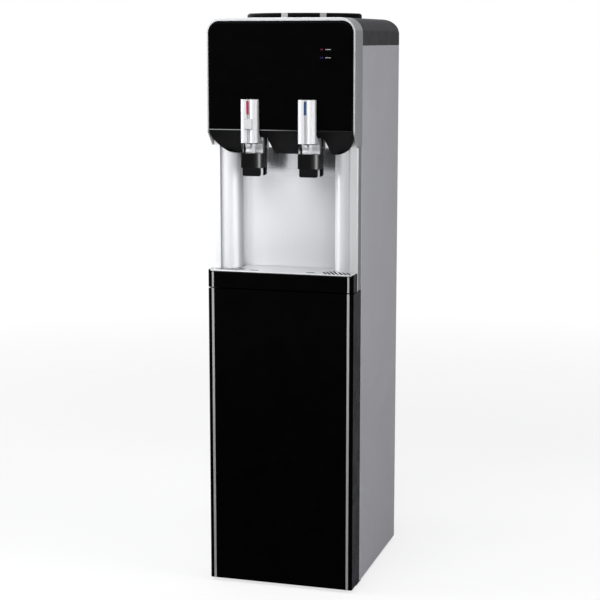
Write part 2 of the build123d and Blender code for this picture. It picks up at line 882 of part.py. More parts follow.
def tap_body(x):
    """Tap with a block for the valve, a skirted spout, two rear legs and two cheeks for the lever."""
    side = tap_width / 2
    plan = Pos(x, tap_block_depth / 2) * Rectangle(tap_width, tap_block_depth)
    plan = fillet(plan.vertices().group_by(Axis.Y)[0], tap_corner)
    body = from_above(plan, tap_block_bottom, tap_block_top)
    skirt = Pos(x, tap_bottom + tap_skirt_height / 2) * Rectangle(tap_skirt_width, tap_skirt_height)
    skirt = fillet(skirt.vertices().group_by(Axis.Y)[0], tap_corner)
    body += from_front(skirt, 0, tap_skirt_depth)
    body += post(x, stem_depth, tap_bottom + spout_rise, tap_block_bottom, nozzle_bore + spout_wall)
    floor = tap_block_top - tap_recess
    leg = Pos(x + side - tap_leg_width / 2, (tap_bottom + floor) / 2) * Rectangle(tap_leg_width, floor - tap_bottom)
    outer_corner = leg.vertices().group_by(Axis.Y)[0].sort_by(Axis.X)[-1]
    leg = from_front(fillet(outer_corner, tap_leg_corner), tap_block_depth, tap_back)
    cheek_top = tap_block_top + cheek_rise
    cheek = make_face(Polyline((cheek_front, floor), (cheek_front, tap_block_top),
                               (cheek_front + cheek_lean, cheek_top), (tap_back, cheek_top), (tap_back, floor),
                               (cheek_front, floor)))
    half_tap = leg + from_side(cheek, x + side - cheek_thick, x + side)
    body = body + half_tap + mirror(half_tap, about=Plane.YZ.offset(x))
    body += block(x - pipe_radius, x + pipe_radius, tap_block_depth, pipe_depth, tap_block_bottom, floor)
    body += post(x, pipe_depth, tap_block_bottom, tap_outlet, pipe_radius)
    body += post(x, pipe_depth, tap_outlet, tap_outlet + barb_height, barb_radius)
    inner = side - cheek_thick
    body -= block(x - inner, x + inner, tap_recess_front, tap_back, floor, tap_block_top + 1)
    well = stem_top() - stem_cap_thick - stem_travel
    seat_z = valve_seat()
    body -= post(x, stem_depth, tap_bottom, seat_z, nozzle_bore)
    body -= post(x, stem_depth, seat_z - 1, well - well_floor, chamber_bore)
    body -= post(x, stem_depth, well - well_floor - 1, tap_block_top + 1, stem_radius + running_gap)
    body -= post(x, stem_depth, well, tap_block_top + 1, stem_cap_radius + slip_gap)
    body -= block(x - stem_radius - slip_gap, x + stem_radius + slip_gap, stem_depth, pivot_depth, well,
                  tap_block_top + 1)
    inlet = (seat_z + well - well_floor) / 2
    body -= rod_back(x, inlet, stem_depth, pipe_depth, pipe_bore)
    body -= post(x, pipe_depth, inlet - pipe_bore, tap_outlet + barb_height + 1, pipe_bore)
    return body - rod_across(pivot_depth, pivot_z, x - side - 1, x + side + 1, pivot_pin_radius)


def stem_top():
    """Height of the valve cap's top while the tap is shut."""
    return tap_block_top - slip_gap


def valve_seat():
    return tap_block_bottom + 0.25 * tap_block_height


def tap_nuts():
    nut = from_above(RegularPolygon(nut_radius, 6) - Circle(pipe_radius + running_gap), ceiling_top,
                     ceiling_top + nut_height)
    return Compound([Pos(x, pipe_depth, 0) * nut for x in (-tap_offset, tap_offset)])


def pivot_pins():
    side = tap_width / 2
    return Compound([rod_across(pivot_depth, pivot_z, x - side, x + side, pivot_pin_radius - running_gap)
                     for x in (-tap_offset, tap_offset)])


def lever_plan():
    """The lever from above: two rounded lobes with a groove between."""
    groove_y = -lever_front + lever_groove_depth
    lobe = 0.55 * lever_half
    left = ThreePointArc((-lever_half, -lever_shoulder), (-lobe, -lever_front), (-lever_groove / 2, groove_y))
    right = ThreePointArc((lever_groove / 2, groove_y), (lobe, -lever_front), (lever_half, -lever_shoulder))
    return face_of(left, Line((-lever_groove / 2, groove_y), (lever_groove / 2, groove_y)), right,
                   Polyline((lever_half, -lever_shoulder), (lever_half, -lever_back), (-lever_half, -lever_back),
                            (-lever_half, -lever_shoulder)))


def lever_web():
    """The lever's lower part from the side: it turns back to the pivot and ends in a lipped hub."""
    crown = (pivot_depth + knuckle_radius * cos(radians(60)), pivot_z + knuckle_radius * sin(radians(60)))
    web_top = (-lever_back, ceiling_bottom - web_drop)
    bend = (web_bend_depth, lever_bottom + web_bend_rise)
    lip_top = hub_bottom + hub_lip_height
    return face_of(ThreePointArc(crown, bend, web_top),
                   Polyline(web_top, (-lever_back, lever_bottom), (hub_front, lever_bottom),
                            (hub_lip_front + hub_lip_step, lip_top), (hub_lip_front, lip_top),
                            (hub_lip_front, hub_bottom), (pivot_depth, hub_bottom), (pivot_depth, pivot_z), crown))


def lever(x):
    """Hand lever with a hub between the tap's cheeks and a nose that presses the valve."""
    shape = from_above(Pos(x, 0) * lever_plan(), lever_bottom, lever_top)
    shape += from_side(lever_web(), x - lever_half, x + lever_half)
    shape += rod_across(pivot_depth, pivot_z, x - lever_half, x + lever_half, knuckle_radius)
    for offset_x in (-boss_offset, boss_offset):
        shape += rod_back(x + offset_x, tap_block_top + boss_rise, boss_front, pivot_depth, boss_radius)
    shape += block(x - stem_radius, x + stem_radius, stem_depth + nose_lead, pivot_depth, tap_block_top, pivot_z)
    shape -= rod_across(pivot_depth, pivot_z, x - lever_half - 1, x + lever_half + 1, pivot_pin_radius)
    return shape - strip_block(x, running_gap, 1)


def strip_block(x, grow, proud):
    """The colour strip, let into the left flank of the groove."""
    back = -lever_front + lever_groove_depth + strip_depth
    return block(x - strip_width - grow, x + grow, back - 2 * strip_depth - proud, back + grow,
                 strip_top - strip_height - grow, strip_top + grow)


def button_pocket(x):
    reach = button_width / 2 + slip_gap
    tall = button_height / 2 + slip_gap
    back = -lever_front - button_proud + button_depth + button_travel + slip_gap
    return block(x - reach, x + reach, -lever_front - 1, back, button_z - tall, button_z + tall)


def hot_lever():
    return lever(-tap_offset) - button_pocket(-tap_offset)


def cold_lever():
    return lever(tap_offset)


def colour_strip(x):
    return strip_block(x, 0, -strip_depth / 2)


def safety_button():
    front = -lever_front - button_proud
    outline = Pos(-tap_offset, button_z) * RectangleRounded(button_width, button_height, button_corner)
    button = from_front(outline, front, front + button_depth)
    return chamfer(button.edges().group_by(Axis.Y)[0], edge_round)


def valve(x):
    """Stem with a cap that the lever presses and a poppet that closes the nozzle from below."""
    cap_bottom = stem_top() - stem_cap_thick
    cap = post(x, stem_depth, cap_bottom, stem_top(), stem_cap_radius)
    seat_z = valve_seat()
    stem = post(x, stem_depth, seat_z - poppet_thick - running_gap, cap_bottom, stem_radius)
    poppet = post(x, stem_depth, seat_z - poppet_thick - running_gap, seat_z - running_gap, poppet_radius)
    return cap + stem + poppet


# Tanks, cooling and wiring

def tank_shelf():
    plate = block(-inner_half, inner_half, tank_shelf_front, tank_shelf_back, tank_shelf_bottom, tank_shelf_top)
    hem = block(-inner_half, inner_half, tank_shelf_back - tank_shelf_thick, tank_shelf_back,
                tank_shelf_bottom - 4 * tank_shelf_thick, tank_shelf_bottom)
    hose_x, hose_y = hose_drop()
    return plate + hem - post(hose_x, hose_y, tank_shelf_bottom - 1, tank_shelf_top + 1, 3 * barb_radius)


def heater_shelf():
    plate = block(-inner_half, inner_half, tank_shelf_front, tank_shelf_back, heater_rise, heater_shelf_top)
    hem = block(-inner_half, inner_half, tank_shelf_back - tank_shelf_thick, tank_shelf_back,
                heater_rise - 4 * tank_shelf_thick, heater_rise)
    return plate + hem - post(hot_tank_x, hot_tank_depth, heater_rise - 1, heater_shelf_top + 1,
                              drain_radius + slip_gap)


def cold_tank():
    tank = post(0, seat_depth, cold_tank_bottom, cold_tank_top, cold_tank_radius)
    inside = post(0, seat_depth, cold_tank_bottom + tank_wall, cold_tank_top - tank_wall,
                  cold_tank_radius - tank_wall)
    mouth = post(0, seat_depth, cold_tank_top - 2 * tank_wall, cold_tank_top + 1, throat_radius + 2 * seat_wall)
    reach = seat_depth - sqrt(cold_tank_radius ** 2 - tap_offset ** 2)
    stub = rod_back(tap_offset, outlet_z, seat_depth - insulation_outer, reach + tank_wall, barb_radius)
    shell = tank - inside - mouth + (stub - tank)
    return shell - rod_back(tap_offset, outlet_z, 0, reach + 4 * tank_wall, pipe_bore)


def evaporator_coil():
    low = cold_tank_bottom + 4 * barb_radius
    ring = from_above(Circle(coil_outer) - Circle(cold_tank_radius + fit_gap), low, low + coil_height)
    return Pos(0, seat_depth, 0) * ring


def tank_insulation():
    bore = coil_outer + fit_gap
    block_out = post(0, seat_depth, tank_shelf_top, cold_tank_top, insulation_outer)
    block_in = post(0, seat_depth, cold_tank_bottom, cold_tank_top + 1, bore)
    outlet = rod_back(tap_offset, outlet_z, 0, seat_depth, barb_radius + fit_gap)
    line = rod_back(-line_offset, outlet_z + 3 * barb_radius, seat_depth, body_depth, line_radius + fit_gap)
    return block_out - block_in - outlet - line


def hot_tank():
    tank = hot_tank_shell(0) - hot_tank_shell(tank_wall)
    outlet = post(0, 0, hot_tank_top - tank_wall, hot_tank_top + 2 * barb_radius, barb_radius)
    tank = tank + outlet - post(0, 0, hot_tank_top - 2 * tank_wall, hot_tank_top + 3 * barb_radius, pipe_bore)
    return Pos(hot_tank_x, hot_tank_depth, 0) * tank


def hot_tank_shell(inset):
    shell = post(0, 0, heater_shelf_top + inset, hot_tank_top - inset, hot_tank_radius - inset)
    return chamfer(shell.edges().filter_by(GeomType.CIRCLE), hot_tank_dome)


def heater_band():
    low = heater_shelf_top + hot_tank_dome + band_height / 2
    ring = Circle(hot_tank_radius + running_gap + band_thick) - Circle(hot_tank_radius + running_gap)
    lug = Pos(0, -hot_tank_radius - 2 * band_thick - running_gap) * Rectangle(3 * band_thick, 3 * band_thick)
    lug -= Circle(hot_tank_radius + running_gap)
    band = from_above(ring + lug, low, low + band_height)
    reach = (hot_tank_radius - hot_tank_dome) * 0.6
    thermostats = [post(reach, y, hot_tank_top, hot_tank_top + thermostat_height, thermostat_radius)
                   for y in (-reach, reach)]
    return Pos(hot_tank_x, hot_tank_depth, 0) * Compound([band] + thermostats)


def hose_drop():
    return hose_inset - inner_half, seat_depth - hose_lead


def hose(points, bend):
    return pipe(points, bend, hose_sides, barb_radius + running_gap + hose_wall, barb_radius + running_gap)


def cold_hose():
    start = tap_outlet + slip_gap
    near_side = tap_offset - barb_radius - hose_wall
    end = seat_depth - sqrt(insulation_outer ** 2 - near_side ** 2) - slip_gap
    bend = outlet_z - start - barb_height
    return hose([(tap_offset, pipe_depth, start), (tap_offset, pipe_depth, outlet_z), (tap_offset, end, outlet_z)],
                bend)


def hot_hose():
    x, y = hose_drop()
    start = tap_outlet + slip_gap
    over = start + hose_rise
    under = ceiling_bottom - hose_fall
    points = [(-tap_offset, pipe_depth, start), (-tap_offset, pipe_depth, over), (x, y - hose_run, over),
              (x, y, over - hose_fall), (x, y, under), (hot_tank_x, hot_tank_depth, under),
              (hot_tank_x, hot_tank_depth, hot_tank_top + slip_gap)]
    return hose(points, hose_bend)


def compressor():
    """Sealed motor housing on a foot plate, with its relay box on one side."""
    low = compressor_low
    shoulder = compressor_radius * 0.7
    profile = Polyline((0, low), (shoulder, low), (compressor_radius, low + compressor_height * 0.12),
                       (compressor_radius, low + compressor_height * 0.72), (shoulder, low + compressor_height * 0.94),
                       (0, compressor_top), (0, low))
    dome = revolve(Plane.XZ * make_face(profile), Axis.Z)
    plate = from_above(RectangleRounded(compressor_plate_width, compressor_plate_depth, compressor_plate_corner),
                       low, low + compressor_plate)
    relay = block(0, compressor_radius + relay_width, -relay_depth / 2, relay_depth / 2, low + relay_rise,
                  low + relay_rise + relay_height)
    body = dome + plate + relay
    for x in (-line_offset, line_offset):
        body -= post(x, 0, compressor_top - 2 * line_socket, compressor_top + 1, line_radius + running_gap)
    return Pos(0, compressor_depth, 0) * body


def compressor_mounts():
    x = compressor_plate_width / 2 - mount_inset
    y = compressor_plate_depth / 2 - mount_inset
    mount = Cylinder(mount_radius, mount_height)
    places = [(sx * x, compressor_depth + sy * y) for sx in (-1, 1) for sy in (-1, 1)]
    return Compound([Pos(px, py, compressor_low - mount_height / 2) * mount for px, py in places])


def condenser():
    """Zigzag tube behind upright wires, carried by two rails and two bars."""
    points = []
    for number in range(condenser_passes):
        z = condenser_bottom + number * condenser_pitch
        ends = (-condenser_half, condenser_half) if number % 2 == 0 else (condenser_half, -condenser_half)
        points += [(x, condenser_plane, z) for x in ends]
    tube = pipe(points, 0.48 * condenser_pitch, line_sides, condenser_tube)
    low = condenser_bottom - condenser_ends
    high = condenser_top + condenser_ends
    first = condenser_pitch / 2 - condenser_half
    step = -2 * first / (wire_count - 1)
    wire_y = condenser_plane + condenser_tube + running_gap
    wire = block(-wire_thick / 2, wire_thick / 2, wire_y, wire_y + wire_thick, low, high)
    wires = [Pos(first + number * step, 0, 0) * wire for number in range(wire_count)]
    rail_x = half - flange - rail_gap
    rail = block(rail_x, rail_x + rail_width, back_face - wire_thick, back_face, low, high)
    frame = rail + mirrored(rail)
    for z in (condenser_bottom + condenser_pitch / 2, condenser_top - condenser_pitch / 2):
        frame += block(-rail_x, rail_x, wire_y + wire_thick, back_face, z - bar_height / 2, z + bar_height / 2)
    return Compound([tube] + wires + [frame])


def refrigerant_lines():
    """Suction line from the evaporator and delivery line to the condenser."""
    start = compressor_top - line_socket
    x = line_offset
    y = compressor_depth
    rise_y = back_face - line_clear
    rise_z = outlet_z + 3 * barb_radius
    coil_back = seat_depth + sqrt(coil_outer ** 2 - (x - line_radius) ** 2)
    suction = pipe([(-x, y, start), (-x, y, compressor_top + line_rise), (-x, rise_y, compressor_top + 2 * line_rise),
                    (-x, rise_y, rise_z), (-x, coil_back + fit_gap, rise_z)], 4 * line_radius, line_sides, line_radius)
    side_x = delivery_inset - half
    over = compressor_top + delivery_rise
    delivery = pipe([(x, y, start), (x, y, over), (side_x, y + delivery_step, over),
                     (side_x, condenser_plane, condenser_bottom),
                     (-condenser_half - running_gap, condenser_plane, condenser_bottom)],
                    3 * line_radius, line_sides, line_radius)
    return Compound([suction, delivery])


def mains_inlet():
    """Mains socket with three blades, set in the back."""
    wide = socket_width / 2 + moulding
    tall = socket_height / 2 + moulding
    shape = block(-wide, wide, back_face - socket_shell, back_face, -tall, tall)
    shape += block(-wide - socket_lip, wide + socket_lip, back_face, body_depth, -tall - socket_lip, tall + socket_lip)
    shape -= from_front(RectangleRounded(socket_width, socket_height, socket_corner), back_face - socket_depth,
                        body_depth + 1)
    blade = block(-blade_thick / 2, blade_thick / 2, back_face - socket_depth - 1,
                  back_face - socket_depth + blade_length, -blade_height / 2, blade_height / 2)
    for x, z in ((-blade_pitch, -blade_thick), (0, blade_height / 2), (blade_pitch, -blade_thick)):
        shape += Pos(x, 0, z) * blade
    return Pos(-switch_x, 0, switch_z) * shape


def switch_rows():
    return (switch_z + switch_pitch / 2, switch_z - switch_pitch / 2)


def switch_bezels():
    wide = switch_width / 2 + moulding
    tall = switch_height / 2 + moulding
    bezel = block(-wide, wide, back_face - bezel_depth, back_face, -tall, tall)
    bezel += block(-wide - bezel_lip, wide + bezel_lip, back_face, body_depth, -tall - bezel_lip, tall + bezel_lip)
    bezel -= block(-switch_width / 2, switch_width / 2, back_face - bezel_depth + moulding, body_depth + 1,
                   -switch_height / 2, switch_height / 2)
    bezel += rod_across(switch_pivot, 0, -wide, wide, switch_pin_radius - running_gap)
    return Compound([Pos(switch_x, 0, z) * bezel for z in switch_rows()])


def rocker(z):
    """Switch key with round ends about its pivot and a shallow V across its face."""
    reach = switch_height / 2 - slip_gap
    root = switch_pivot - switch_root
    crown = switch_pivot + switch_crown
    end = crown + reach * sin(radians(switch_tilt))
    face = make_face(Polyline((root, -reach), (end, -reach), (crown, 0), (end, reach), (root, reach), (root, -reach)))
    disc = Pos(switch_pivot, 0) * Circle(reach)
    key = from_side(disc & face, -switch_width / 2 + slip_gap, switch_width / 2 - slip_gap)
    key -= rod_across(switch_pivot, 0, -switch_width, switch_width, switch_pin_radius)
    tilted = Pos(0, switch_pivot, 0) * Rot(switch_tilt, 0, 0) * Pos(0, -switch_pivot, 0) * key
    return Pos(switch_x, 0, z) * tilted


def drain_pipe():
    points = [(hot_tank_x, hot_tank_depth, heater_shelf_top), (hot_tank_x, hot_tank_depth, drain_z),
              (hot_tank_x, drain_end, drain_z)]
    return pipe(points, drain_bend, hose_sides, drain_radius, drain_radius - tank_wall)


def drain_cap():
    cap = rod_back(hot_tank_x, drain_z, drain_end + slip_gap, drain_end + drain_cap_length, drain_cap_radius)
    return chamfer(cap.edges().group_by(Axis.Y)[-1], tank_wall)


pieces = {
    "base_pan": base_pan(),
    "rubber_feet": rubber_feet(),
    "left_side_panel": mirrored(side_panel()),
    "right_side_panel": side_panel(),
    "rear_panel": rear_panel(),
    "cabinet_liner": cabinet_liner(),
    "lower_hinge": lower_hinge(),
    "upper_hinge_pin": upper_hinge_pin(),
    "door_shell": door_shell(),
    "door_grip": door_grip(),
    "door_trims": door_trims(),
    "door_liner": door_liner(),
    "door_gasket": door_gasket(),
    "tray_shelf": tray_shelf(),
    "left_pillar": left_pillar(),
    "right_pillar": right_pillar(),
    "splash_panel": splash_panel(),
    "drip_tray": drip_tray(),
    "tray_trims": tray_trims(),
    "drip_grille": drip_grille(),
    "head_frame": head_frame(),
    "front_panel": front_panel(),
    "hot_indicator": indicator("hot"),
    "cold_indicator": indicator("cold"),
    "indicator_board": indicator_board(),
    "panel_trim": panel_trim(),
    "visor": visor(),
    "top_cover": top_cover(),
    "bottle_seat": bottle_seat(),
    "seat_clips": seat_clips(),
    "hot_tap_body": tap_body(-tap_offset),
    "cold_tap_body": tap_body(tap_offset),
    "tap_nuts": tap_nuts(),
    "tap_pivot_pins": pivot_pins(),
    "hot_lever": hot_lever(),
    "cold_lever": cold_lever(),
    "hot_strip": colour_strip(-tap_offset),
    "cold_strip": colour_strip(tap_offset),
    "hot_safety_button": safety_button(),
    "hot_valve": valve(-tap_offset),
    "cold_valve": valve(tap_offset),
    "tank_shelf": tank_shelf(),
    "heater_shelf": heater_shelf(),
    "cold_tank": cold_tank(),
    "evaporator_coil": evaporator_coil(),
    "tank_insulation": tank_insulation(),
    "hot_tank": hot_tank(),
    "heater_band": heater_band(),
    "cold_hose": cold_hose(),
    "hot_hose": hot_hose(),
    "compressor": compressor(),
    "compressor_mounts": compressor_mounts(),
    "condenser": condenser(),
    "refrigerant_lines": refrigerant_lines(),
    "mains_inlet": mains_inlet(),
    "switch_bezels": switch_bezels(),
    "hot_switch": rocker(switch_rows()[0]),
    "cold_switch": rocker(switch_rows()[1]),
    "drain_pipe": drain_pipe(),
    "drain_cap": drain_cap(),
}

for name, shape in pieces.items():
    export_step(Pos(0, -middle_depth, 0) * shape, f"parts/{name}.step")
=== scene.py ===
"""Looks of the water cooler: studio, camera, materials and the small pieces that dress the solids."""

import math

import bmesh
import bpy
from mathutils import Matrix, Vector


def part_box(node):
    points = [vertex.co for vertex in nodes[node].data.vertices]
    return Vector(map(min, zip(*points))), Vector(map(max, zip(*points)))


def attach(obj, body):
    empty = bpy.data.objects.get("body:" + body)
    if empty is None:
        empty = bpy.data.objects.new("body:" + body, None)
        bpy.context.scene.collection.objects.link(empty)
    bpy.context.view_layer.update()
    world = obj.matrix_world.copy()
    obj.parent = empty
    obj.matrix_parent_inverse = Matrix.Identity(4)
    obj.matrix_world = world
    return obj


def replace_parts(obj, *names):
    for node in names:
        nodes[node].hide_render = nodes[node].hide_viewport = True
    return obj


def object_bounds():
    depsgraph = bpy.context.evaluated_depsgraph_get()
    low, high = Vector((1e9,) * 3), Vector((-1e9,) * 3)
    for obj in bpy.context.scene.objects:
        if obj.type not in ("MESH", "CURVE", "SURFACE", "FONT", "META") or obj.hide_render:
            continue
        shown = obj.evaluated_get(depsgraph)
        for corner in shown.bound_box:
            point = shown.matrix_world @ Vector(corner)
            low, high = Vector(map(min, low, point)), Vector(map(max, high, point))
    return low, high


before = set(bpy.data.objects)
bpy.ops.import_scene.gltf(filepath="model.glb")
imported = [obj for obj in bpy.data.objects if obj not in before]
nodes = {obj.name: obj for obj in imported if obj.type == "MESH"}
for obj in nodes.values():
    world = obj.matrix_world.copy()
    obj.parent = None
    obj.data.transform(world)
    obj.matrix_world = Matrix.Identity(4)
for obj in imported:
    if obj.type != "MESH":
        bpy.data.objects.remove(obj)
cad_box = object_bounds()

# Sizes and places in metres, from the frame where it has them
HALF_WIDTH = cad_box[1][0]
EDGE_RADIUS = 0.0006
COLUMN_RADIUS = 0.0247
COLUMN_PLACE = (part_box("right_pillar")[0].x + COLUMN_RADIUS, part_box("right_pillar")[1].y - COLUMN_RADIUS)
HUB_HEIGHT = 0.018
GROOVE_REACH = 0.008
NOZZLE_HEIGHT = 0.0162
LIP_DEPTH = 0.003
SLOT_COUNT = 7
SLOT_PITCH = 0.008
SLOT_SLANT = math.radians(28)
SLOT_REACH = 0.064
SLOT_FALL = 0.0065
SLOT_FRONT = 0.0057
SLOT_SIDE = 0.0078
SLOT_WIDTH = 0.0038
COLUMN_GAP = 0.0048
SLOT_STEP = 0.0005
DECK_CORNER = 0.008
CORNER_PAST = 0.002
CUT_PAST = 0.001
WELD = 1e-6
ARC_STEPS = 8
SCREW_RADIUS = 0.0036
SCREW_INSET = 0.0085
MARK_GAP = 0.004
MARK_SIZE = (0.011, 0.0012, 0.0001)

# Screws: heights as shares of the rear panel, and the head's (radius, height) as shares of its radius
SCREW_HEIGHTS = (0.02, 0.27, 0.52, 0.77, 0.98)
SCREW_CROWN = 0.62
SCREW_HEAD = ((1, -0.2), (1, 0.15), (0.86, 0.45), (0.6, SCREW_CROWN), (0, SCREW_CROWN))
# The dark cross of painted shade in each screw's recess, as shares of the radius
SCREW_CROSS = (1.0, 0.2, 0.02)

# Shares that base colours are multiplied by, mostly painted shade (below 1) and painted light (above 1)
GLOSS_SIDE_LIGHT = 30.0
COVER_SIDE_SHADE = 0.6
GROOVE_SHADE = 0.12
HUB_PAINTED_LIGHT = 1.5
LEVER_EDGE_SHADE = 0.8
COLUMN_SHADE = 0.45
COLUMN_PAINTED_LIGHT = 1.48
SLOT_SHADE = 0.02
LIP_SHADE = 0.004
SPLASH_LIGHT_ACROSS = (1.28, 0.68)
SPLASH_LIGHT_UP = (0.86, 1.08)

# Where those shares set in: turns of a face, openness of a groove, parts of the half width, heights in metres
STEEP = 0.5
BACKWARD = 0.25
INNER_LEFT = (0.68, 0.99)
INNER_RIGHT = (-0.95, -0.3)
EDGE_TURN = (0.3, 0.8)
GROOVE_OPEN = (0.62, 0.97)
SIDE_BAND = (0.968, 0.985)
SPLASH_REACH = 0.1
SPLASH_RISE = (0.65, 0.805)
SPLASH_POLISH = (0.812, 0.838)

# How metallic the splash panel is, below its polished band and above it
SPLASH_METAL = (0.12, 0.85)

# Greys of a painted highlight across the tap fronts from left to right, as (place, grey)
TAP_PAINTED_HIGHLIGHT = ((0.0, 0.0006), (0.58, 0.002), (0.7, 0.010), (0.78, 0.03), (0.83, 0.1), (0.86, 0.24),
             (0.91, 0.2), (0.95, 0.05), (1.0, 0.015))

# Drawn lines: repeats per metre across them and along them
LINES_ACROSS = 900
LINES_ALONG = 9

# Camera, fitted to the photograph's straight edges, with lens and sensor in millimetres
CAMERA_PLACE = (0.8817, -3.0197, 1.0810)
CAMERA_TURN = math.radians(16.467)
CAMERA_DIP = math.radians(9.495)
CAMERA_LENS = 93.24
CAMERA_SENSOR = 36.0
CAMERA_FAR = 50

# Floor and dome
FLOOR_RADIUS = 3.2
FLOOR_SEGMENTS = 96
FLOOR_FADE = (1.2, 3.0)
FLOOR_GLOW = 0.7
FLOOR_PALE = 0.86
FLOOR_MIRRORED = 0.12
DOME_COLOUR = (0.97, 0.985, 1.0, 1)
DOME_FILL = 0.34
DOME_LEFT = 1.3
DOME_RIGHT = 0.2
DOME_TURN = (-0.5, -0.05)

# Lamps: name, place, aim, size in metres, power in watts
LAMPS = (
    ("key_light", (-0.3, -2.9, 2.75), (0, 0, 0.75), (3.0, 2.4), 66),
    ("bay_light", (-0.12, -0.52, 1.3), (-0.05, -0.1, 0.76), (0.6, 0.3), 1.6),
    ("right_light", (0.5, -0.62, 0.78), (-0.1, -0.11, 0.76), (0.2, 0.3), 0.85),
    ("hot_hood_light", (-0.045, -0.102, 0.878), (-0.045, -0.0895, 0.878), (0.014, 0.012), 0.0006),
    ("cold_hood_light", (0.071, -0.102, 0.878), (0.071, -0.0895, 0.878), (0.014, 0.012), 0.0006),
    ("left_light", (-3.0, -0.9, 1.5), (0, 0, 0.8), (1.2, 2.2), 45),
    ("side_light", (3.0, -0.4, 1.6), (0, 0, 0.6), (1.2, 2.2), 52),
    ("top_light", (-0.3, 0.2, 3.2), (0, 0, 1.0), (1.6, 1.6), 18),
)


# Shader helpers

class Shader:
    """A node material with a Principled surface and short calls for its procedural parts."""

    def __init__(self, name, colour, roughness, metallic=0.0, specular=0.5):
        """Starts from plain values, which the other calls vary."""
        self.material = bpy.data.materials.new(name)
        self.material.use_nodes = True
        self.tree = self.material.node_tree
        self.surface = self.tree.nodes["Principled BSDF"]
        self.colour = colour
        self.roughness = roughness
        self.set("Base Color", (*colour, 1.0))
        self.set("Roughness", roughness)
        self.set("Metallic", metallic)
        self.set("Specular IOR Level", specular)
        self.place = None
        self.last_bump = None

    def set(self, socket, value):
        """Sets one input of the surface."""
        self.surface.inputs[socket].default_value = value
        return self

    def node(self, kind, **settings):
        """Adds a node with its settings."""
        made = self.tree.nodes.new(kind)
        for key, value in settings.items():
            setattr(made, key, value)
        return made

    def link(self, source, target):
        """Joins an output to an input."""
        self.tree.links.new(source, target)

    def object_place(self, stretch=(1, 1, 1)):
        """Places on the piece in metres, stretched along its axes."""
        if self.place is None:
            self.place = self.node("ShaderNodeTexCoord").outputs["Object"]
        if stretch == (1, 1, 1):
            return self.place
        mapping = self.node("ShaderNodeMapping")
        mapping.inputs["Scale"].default_value = stretch
        self.link(self.place, mapping.inputs["Vector"])
        return mapping.outputs["Vector"]

    def noise(self, scale, detail=2.0, rough=0.5, stretch=(1, 1, 1)):
        """A cloudy pattern from 0 to 1."""
        noise = self.node("ShaderNodeTexNoise")
        noise.inputs["Scale"].default_value = scale
        noise.inputs["Detail"].default_value = detail
        noise.inputs["Roughness"].default_value = rough
        self.link(self.object_place(stretch), noise.inputs["Vector"])
        return noise.outputs["Fac"]

    def cells(self, scale):
        """A pattern of small cells, each with one value from 0 to 1."""
        cells = self.node("ShaderNodeTexVoronoi")
        cells.inputs["Scale"].default_value = scale
        self.link(self.object_place(), cells.inputs["Vector"])
        split = self.node("ShaderNodeSeparateColor")
        self.link(cells.outputs["Color"], split.inputs["Color"])
        return split.outputs["Red"]

    def spread(self, source, low, high, start=0.3, end=0.7):
        """Turns a 0 to 1 pattern into a range of values."""
        spread = self.node("ShaderNodeMapRange")
        for socket, value in zip(("From Min", "From Max", "To Min", "To Max"), (start, end, low, high)):
            spread.inputs[socket].default_value = value
        self.link(source, spread.inputs["Value"])
        return spread.outputs["Result"]

    def vary_roughness(self, source, amount):
        """Raises and lowers the roughness by an amount."""
        low = max(0.02, self.roughness - amount)
        self.link(self.spread(source, low, self.roughness + amount), self.surface.inputs["Roughness"])
        return self

    def vary_colour(self, source, amount):
        """Lightens and darkens the base colour by a share."""
        ramp = self.node("ShaderNodeMix", data_type="RGBA")
        ramp.inputs["A"].default_value = (*[c * (1 - amount) for c in self.colour], 1.0)
        ramp.inputs["B"].default_value = (*[min(1.0, c * (1 + amount)) for c in self.colour], 1.0)
        self.link(self.spread(source, 0.0, 1.0), ramp.inputs["Factor"])
        self.link(ramp.outputs["Result"], self.surface.inputs["Base Color"])
        return self

    def along(self, axis):
        """The place along one of the piece's axes, in metres."""
        split = self.node("ShaderNodeSeparateXYZ")
        self.link(self.object_place(), split.inputs[0])
        return split.outputs[axis]

    def facing(self, axis):
        """How far a face turns to one of the piece's axes, from -1 to 1."""
        split = self.node("ShaderNodeSeparateXYZ")
        self.link(self.node("ShaderNodeTexCoord").outputs["Normal"], split.inputs[0])
        return split.outputs[axis]

    def both(self, first, second):
        """The product of two shares."""
        product = self.node("ShaderNodeMath", operation="MULTIPLY")
        self.link(first, product.inputs[0])
        self.link(second, product.inputs[1])
        return product.outputs[0]

    def beyond(self, source, limit):
        """1 where a value is above a limit, else 0."""
        step = self.node("ShaderNodeMath", operation="GREATER_THAN")
        step.inputs[1].default_value = limit
        self.link(source, step.inputs[0])
        return step.outputs[0]

    def short_of(self, source, limit):
        """1 where a value is below a limit, else 0."""
        step = self.node("ShaderNodeMath", operation="LESS_THAN")
        step.inputs[1].default_value = limit
        self.link(source, step.inputs[0])
        return step.outputs[0]

    def shade_where(self, mask, share):
        """Multiplies the base colour by a share where a mask is 1."""
        self.tint(self.spread(mask, 1.0, share, 0.0, 1.0))
        return self

    def dull_where(self, mask):
        """Takes away the shine where a mask is 1."""
        for name in ("Metallic", "Specular IOR Level", "Coat Weight"):
            socket = self.surface.inputs[name]
            self.link(self.spread(mask, socket.default_value, 0.0, 0.0, 1.0), socket)
        return self

    def shade_sides(self, share):
        """Multiplies the base colour of the machine's outer side faces: painted shade for shares below 1,
        painted light for shares above 1.
        """
        outward = self.both(self.facing("X"), self.along("X"))
        band = [part * HALF_WIDTH for part in SIDE_BAND]
        self.tint(self.spread(outward, 1.0, share, *band))
        return self

